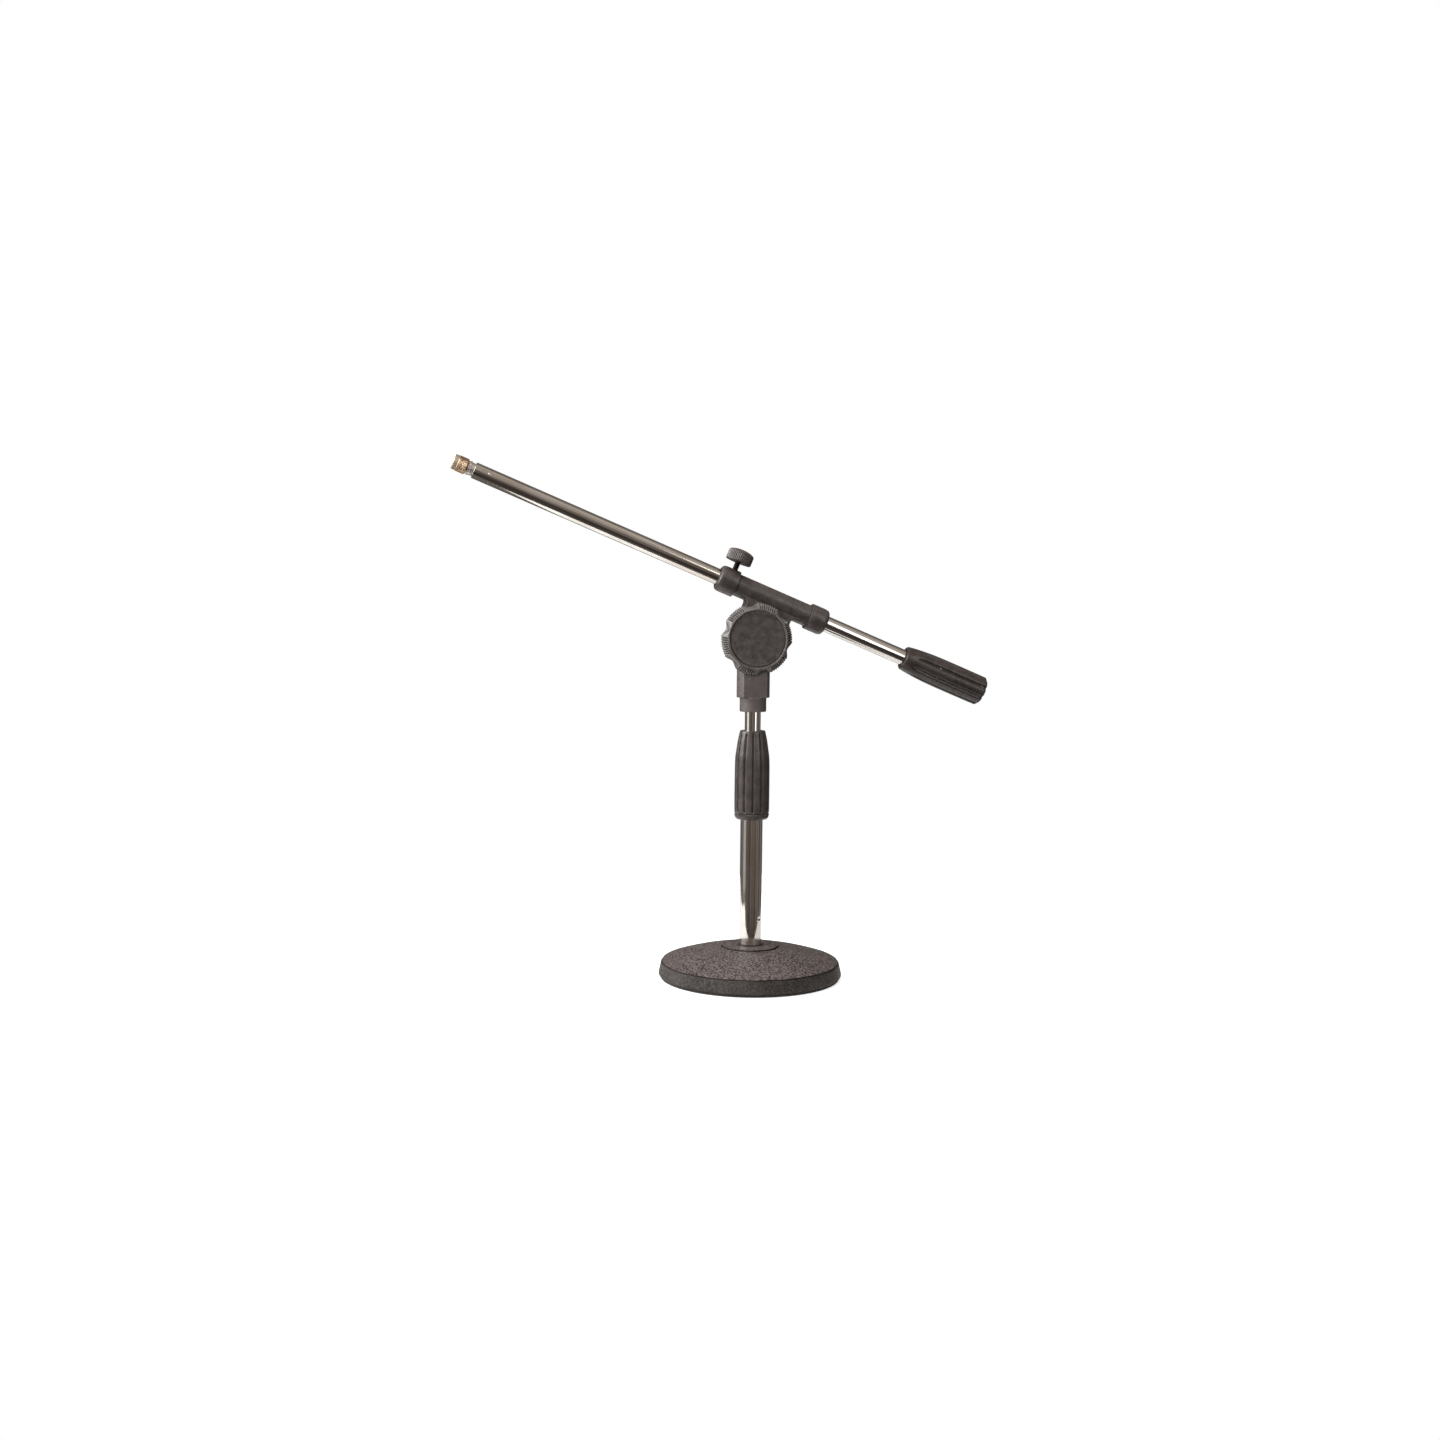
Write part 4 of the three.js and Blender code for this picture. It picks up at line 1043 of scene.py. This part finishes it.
def make_collars(screw_hole):
    """Caps over the barrel's two ends. The thumb screw goes through the front one."""
    for name, node, facing, cutter in (
        ("front_collar", "clamp_collar_front", 1, screw_hole),
        ("rear_collar", "clamp_collar_rear", -1, None),
    ):
        near, far = span(node, BOOM)
        start, end = (near, far) if facing > 0 else (far, near)
        outer = reach(node, BOOM)
        throat = bore(node, BOOM)
        outline = soften([
            (throat, start, 0.5), (outer - 3.6, start, 1.2), (outer - 0.9, start + facing * 1.3, 1.2),
            (outer, start + facing * 4.4, 1.6), (outer, end, 0.55),
            (BARREL_RADIUS + 0.15, end, 0.3), (BARREL_RADIUS + 0.15, start + facing * COLLAR_WALL),
            (throat, start + facing * COLLAR_WALL, 0.4),
        ], closed=True)
        sweep(name, BOOM, outline, 192, "clamp", BLACK, [node], "black_plastic",
              closed=True, cutter=cutter)


# ---------------- boom tube and its ends

STAKES = [math.radians(a) for a in (75, 195, 315)]
STAKE_PLACE = -299.7
STAKE_SIZE = 1.3
STAKE_DEPTH = 0.35


def make_boom():
    """The boom tube, staked in three places near its tip."""
    low, high, outer = extent("boom_tube", BOOM)
    inner = outer - TUBE_WALL
    near = 5.0
    marks = STAKE_PLACE - near, STAKE_PLACE + near
    outline = soften([
        (inner, low, 0.3), (outer, low, 1.3), *[(outer, mark, 0) for mark in marks],
        (outer, high, 0.3), (inner, high, 0.3),
    ], closed=True)
    outline = refine(outline, 0.4, *marks, closed=True)

    def staked(r, h, a):
        sunk = r
        for facing in STAKES:
            sunk = dent(sunk, h, a, facing, STAKE_PLACE, STAKE_SIZE, STAKE_DEPTH)
        return np.where(r > outer - 0.6, sunk, r), h

    sweep("boom_arm", BOOM, outline, 160, "boom", CHROME, ["boom_tube"], "chrome_tube",
          closed=True, relief=staked)


def thread(pitch, depth, start, end, runout):
    """A helical groove between two heights, fading out at each end."""
    def relief(r, h, a):
        turn = np.mod(h / pitch - a / TURN, 1.0)
        tooth = np.abs(turn - 0.5) * 2
        window = step_up(h, start, start + runout) * (1 - step_up(h, end - runout, end))
        cutting = np.clip(tooth * 1.15 - 0.08, 0, 1)
        return r - depth * cutting * window, h
    return relief


INCH = 25.4
THREADS_PER_INCH = 27
THREAD_DEPTH = 0.26


def make_tip():
    """The brass sleeve with its fine thread, and the turned plug that it is screwed on."""
    face, back, outer = extent("thread_adapter", BOOM)
    hole = bore("thread_adapter", BOOM)
    start, end = face + BRASS_LIP + 0.1, back - 1.4
    outline = soften([
        (hole, face, 0.3), (outer - 0.55, face, 0.4), (outer - 0.4, face + BRASS_LIP - 0.3, 0.2),
        (outer, face + BRASS_LIP + 0.3, 0.25),
        (outer, end, 0.25), (6.6, end + 0.5, 0.2), (6.6, back, 0.2), (hole, back, 0.2),
    ], closed=True)
    helix = thread(INCH / THREADS_PER_INCH, THREAD_DEPTH, start, end, 0.8)

    def relief(r, h, a):
        cut, _ = helix(r, h, a)
        return np.where(r > outer - 0.7, cut, r), h

    outline = refine(outline, 0.09, start - 0.2, end + 0.3, closed=True)
    sweep("brass_thread", BOOM, outline, 96, "boom", BRASS, ["thread_adapter"], "brass",
          closed=True, relief=relief)

    front, rear = span("tip_plug", BOOM)
    ring_front, ring_back = back + GAP, back + 2.6
    outline = soften([
        (0, front), (4.1, front, 0.4), (4.7, front + 0.7, 0.3), (4.7, ring_front, 0.2),
        (7.0, ring_front, 0.35), (7.0, ring_back, 0.35),
        (6.3, ring_back + 0.1, 0.2), (6.3, ring_back + 3.4, 0.3),
        (6.5, ring_back + 4.4), (6.5, rear), (0, rear),
    ])
    sweep("tip_insert", BOOM, outline, 128, "boom", NICKEL, ["tip_plug"], "steel")


WEIGHT_FLUTES = 8
WEIGHT_GROOVE = math.radians(73)


def make_counterweight():
    """The fluted sleeve over the boom's steel weight."""
    low, high, outer = extent("counterweight_sleeve", BOOM)
    body = curve_through([
        (12.1, low + 1.2), (12.7, low + 5), (13.3, low + 10), (14.0, low + 18), (14.6, low + 27),
        (outer - 0.1, low + 38), (outer, low + 52), (outer, low + 70), (outer - 0.1, high - 2.2),
    ], 7)
    outline = soften([
        (8.3, low + 5.4), (8.3, low, 0.3), (11.2, low, 0.7), *[(r, h, 0) for r, h in body],
        (outer - 2.0, high, 1.4), (outer - 4.2, high - 0.1, 0.4), (outer - 4.8, high - 0.6, 0.4),
        (0, high - 0.6),
    ])
    inside = [(0, high - 2.4), (13.3, high - 2.4), (13.3, low + 37), (10.4, low + 5.4)]
    outline = refine(outline + inside, 1.2, low + 1, high)
    flutes = fluted(
        WEIGHT_FLUTES, WEIGHT_GROOVE, low + 6, high + 3, fade_low=16, fade_high=0.1,
        depth=1.5, wide=1.15, crown=0.5, square=2,
    )
    sweep("weight_sleeve", BOOM, outline, 576, "boom", SHADED_WEIGHT_PLASTIC, ["counterweight_sleeve"],
          "black_plastic", relief=flutes)


# ---------------- thumb screw

KNURL_RIBS = 44
KNURL_DEPTH = 0.42
SCREW_PITCH = 1.0
SCREW_THREAD_DEPTH = 0.55


def make_thumb_screw():
    """The knurled head and the threaded shank that comes out of its underside."""
    low, high, outer = extent("lock_screw_knob", SCREW)
    rim = low + 10.3

    def knurl(r, h, a):
        window = step_up(h, low + 0.9, low + 1.6) * (1 - step_up(h, rim - 1.3, rim - 0.6))
        wave = (0.5 - 0.5 * np.cos(a * KNURL_RIBS)) ** 0.8
        return r - KNURL_DEPTH * wave * window * (r > outer - 1), h

    crown = curve_through([(11.4, rim + 0.55), (8.5, rim + 1.7), (4.6, high - 0.3), (0.001, high)], 6)
    outline = soften([
        (3.2, low + 2.0, 0.3), (3.2, low, 0.4), (5.6, low, 0.3), (6.4, low + 0.9, 0.3),
        (10.9, low + 0.9, 0.3), (11.6, low, 0.3), (outer - 0.3, low, 0.5), (outer, low + 1, 0.3),
        (outer, rim - 0.9, 0.8),
        (outer - 1.1, rim + 0.2, 0.8), *[(r, h, 0) for r, h in crown[:-1]], (0, high),
    ])
    outline = [(0, low + 2.0)] + outline
    sweep("thumb_screw_head", SCREW, refine(outline, 0.7, low + 0.4, rim), 768, "lock_screw", BLACK,
          ["lock_screw_knob"], "black_plastic", relief=knurl)

    foot = span("lock_screw_shank", SCREW)[0]
    end = low + 1.6
    outline = soften([(0, foot), (2.5, foot, 0.2), (3.0, foot + 0.6, 0.2), (3.0, end, 0.2), (0, end)])
    helix = thread(SCREW_PITCH, SCREW_THREAD_DEPTH, foot + 0.3, end + 1, 0.5)
    sweep("thumb_screw_shank", SCREW, refine(outline, 0.11, foot, end), 64, "lock_screw",
          DARK_STEEL, ["lock_screw_shank"], "black_steel", relief=helix)


make_base_casting()
make_base_rubber()
make_column()
make_clutch()
make_socket()
make_bolt()
make_discs()
make_knob()
make_clamp()
make_boom()
make_tip()
make_counterweight()
make_thumb_screw()

# ---------------- floor, lights and camera

FLOOR_CORNERS = ((0.30, 0.60), (-0.30, 0.60), (-0.44, -0.13), (0.30, -0.13))
FLOOR_GLOW = 0.7
CORNER_SHARE = 0.15
CORNER_STEPS = 8


def make_floor():
    """A plain pale table top, set back from its front edge as in a product photograph."""
    paint = Paint("pale_floor", own=False)
    colour = paint.blend(paint.noise(0.02, 3), (0.60, 0.595, 0.59), (0.64, 0.635, 0.63))
    paint.set(Base_Color=colour, Roughness=0.75)
    seen = paint.add("ShaderNodeLightPath").outputs["Is Camera Ray"]
    paint.set(Emission_Color=(1.0, 1.0, 1.0), Emission_Strength=paint.math("MULTIPLY", seen, FLOOR_GLOW))
    outline = []
    count = len(FLOOR_CORNERS)
    for i, corner in enumerate(FLOOR_CORNERS):
        here = Vector(corner)
        before = here.lerp(Vector(FLOOR_CORNERS[i - 1]), CORNER_SHARE)
        after = here.lerp(Vector(FLOOR_CORNERS[(i + 1) % count]), CORNER_SHARE)
        for step in range(CORNER_STEPS + 1):
            t = step / CORNER_STEPS
            outline.append((1 - t) ** 2 * before + 2 * t * (1 - t) * here + t * t * after)
    bm = bmesh.new()
    bm.faces.new([bm.verts.new((x, y, 0)) for x, y in outline])
    floor = loose("floor", bm)
    floor.data.materials.append(paint.material)
    floor.location.z = -0.0005


def make_light(name, place, size, radiance, target, in_reflections=True):
    """A rectangular soft light of even radiance."""
    light = bpy.data.lights.new(name, "AREA")
    light.shape = "RECTANGLE"
    light.size, light.size_y = size
    light.energy = radiance * math.pi * size[0] * size[1]
    obj = linked(name, light)
    obj.location = place
    obj.rotation_mode = "QUATERNION"
    obj.rotation_quaternion = (Vector(target) - Vector(place)).to_track_quat("-Z", "Y")
    obj.visible_glossy = in_reflections


ROOM = (0.125, 0.110, 0.100)
ROOM_FRONT = (0.105, 0.088, 0.078)
GROUND = (0.034, 0.029, 0.026)
CEILING = (0.36, 0.315, 0.28)
PANELS_PER_RADIAN = 3.2


def make_world():
    """White behind the object for the camera; a dim warm room in reflections and fill light."""
    world = bpy.data.worlds.new("studio")
    world.use_nodes = True
    world.node_tree.nodes.clear()
    nodes = Nodes(world.node_tree)
    direction = nodes.add("ShaderNodeSeparateXYZ")
    nodes.link(nodes.add("ShaderNodeTexCoord").outputs["Generated"], direction.inputs[0])
    x, y, z = direction.outputs
    front = nodes.blend(nodes.spread(z, -0.10, -0.36), ROOM_FRONT, GROUND)
    low = nodes.blend(nodes.spread(y, -0.25, -0.75), ROOM, front)
    over_front = nodes.blend(nodes.spread(y, 0.35, -0.15), ROOM, CEILING)
    colour = nodes.blend(nodes.spread(z, -0.02, 0.62), low, over_front)
    panels = nodes.bands(nodes.math("ARCTAN2", x, y), PANELS_PER_RADIAN)
    lit = nodes.spread(panels, 0.3, 0.7, 0.35, 2.0, "LINEAR")
    scaled = nodes.add("ShaderNodeVectorMath", operation="SCALE")
    nodes.link(colour, scaled.inputs[0])
    nodes.link(lit, scaled.inputs["Scale"])
    room = nodes.add("ShaderNodeBackground")
    nodes.link(scaled.outputs[0], room.inputs["Color"])
    white = nodes.add("ShaderNodeBackground")
    white.inputs["Color"].default_value = (1, 1, 1, 1)
    mix = nodes.add("ShaderNodeMixShader")
    nodes.link(nodes.add("ShaderNodeLightPath").outputs["Is Camera Ray"], mix.inputs[0])
    nodes.link(room.outputs[0], mix.inputs[1])
    nodes.link(white.outputs[0], mix.inputs[2])
    nodes.link(mix.outputs[0], nodes.add("ShaderNodeOutputWorld").inputs[0])
    bpy.context.scene.world = world


CAMERA_DISTANCE = 1.6
CAMERA_HEIGHT = 0.3752
CAMERA_SIDE = math.radians(12.5)
CAMERA_PAN = math.radians(-1.17)
CAMERA_TILT = math.radians(-4.17)
CAMERA_ROLL = math.radians(0.62)
CAMERA_LENS = 40.23


def make_camera():
    camera = bpy.data.cameras.new("camera")
    camera.lens = CAMERA_LENS
    camera.sensor_width = 36
    camera.clip_end = 20
    obj = linked("camera", camera)
    heading = CAMERA_SIDE + CAMERA_PAN
    forward = Vector((
        math.sin(heading) * math.cos(CAMERA_TILT), math.cos(heading) * math.cos(CAMERA_TILT),
        math.sin(CAMERA_TILT),
    ))
    right = Vector((math.cos(heading), -math.sin(heading), 0))
    up = right.cross(forward)
    right, up = (
        right * math.cos(CAMERA_ROLL) + up * math.sin(CAMERA_ROLL),
        up * math.cos(CAMERA_ROLL) - right * math.sin(CAMERA_ROLL),
    )
    place = Vector((
        -math.sin(CAMERA_SIDE) * CAMERA_DISTANCE, -math.cos(CAMERA_SIDE) * CAMERA_DISTANCE, CAMERA_HEIGHT,
    ))
    obj.matrix_world = Matrix.Translation(place) @ Matrix((right, up, -forward)).transposed().to_4x4()
    bpy.context.scene.camera = obj


make_floor()
make_world()
make_light("left_box", (-1.25, -0.20, 1.00), (1.0, 1.0), 6.4, (0, 0, 0.35))
make_light("left_card", (-1.35, -0.12, 0.36), (0.75, 0.44), 0.85, (0, -0.1, 0.36))
make_light("left_low_card", (-1.35, -0.12, 0.00), (0.75, 0.26), 0.30, (0, -0.1, 0.0))
make_light("left_rear_box", (-1.30, 0.46, 0.90), (0.40, 1.10), 5.0, (0, 0, 0.60))
make_light("right_box", (0.82, -1.32, 0.74), (0.40, 1.10), 2.4, (0.1, 0, 0.35))
make_light("overhead", (0.0, 0.1, 1.7), (1.0, 0.8), 10, (0, 0.05, 0), in_reflections=False)
make_light("front_fill", (-1.1, -1.4, 0.70), (0.8, 0.8), 12, (0, 0, 0.25), in_reflections=False)
make_camera()
bpy.context.scene.view_settings.view_transform = "Standard"
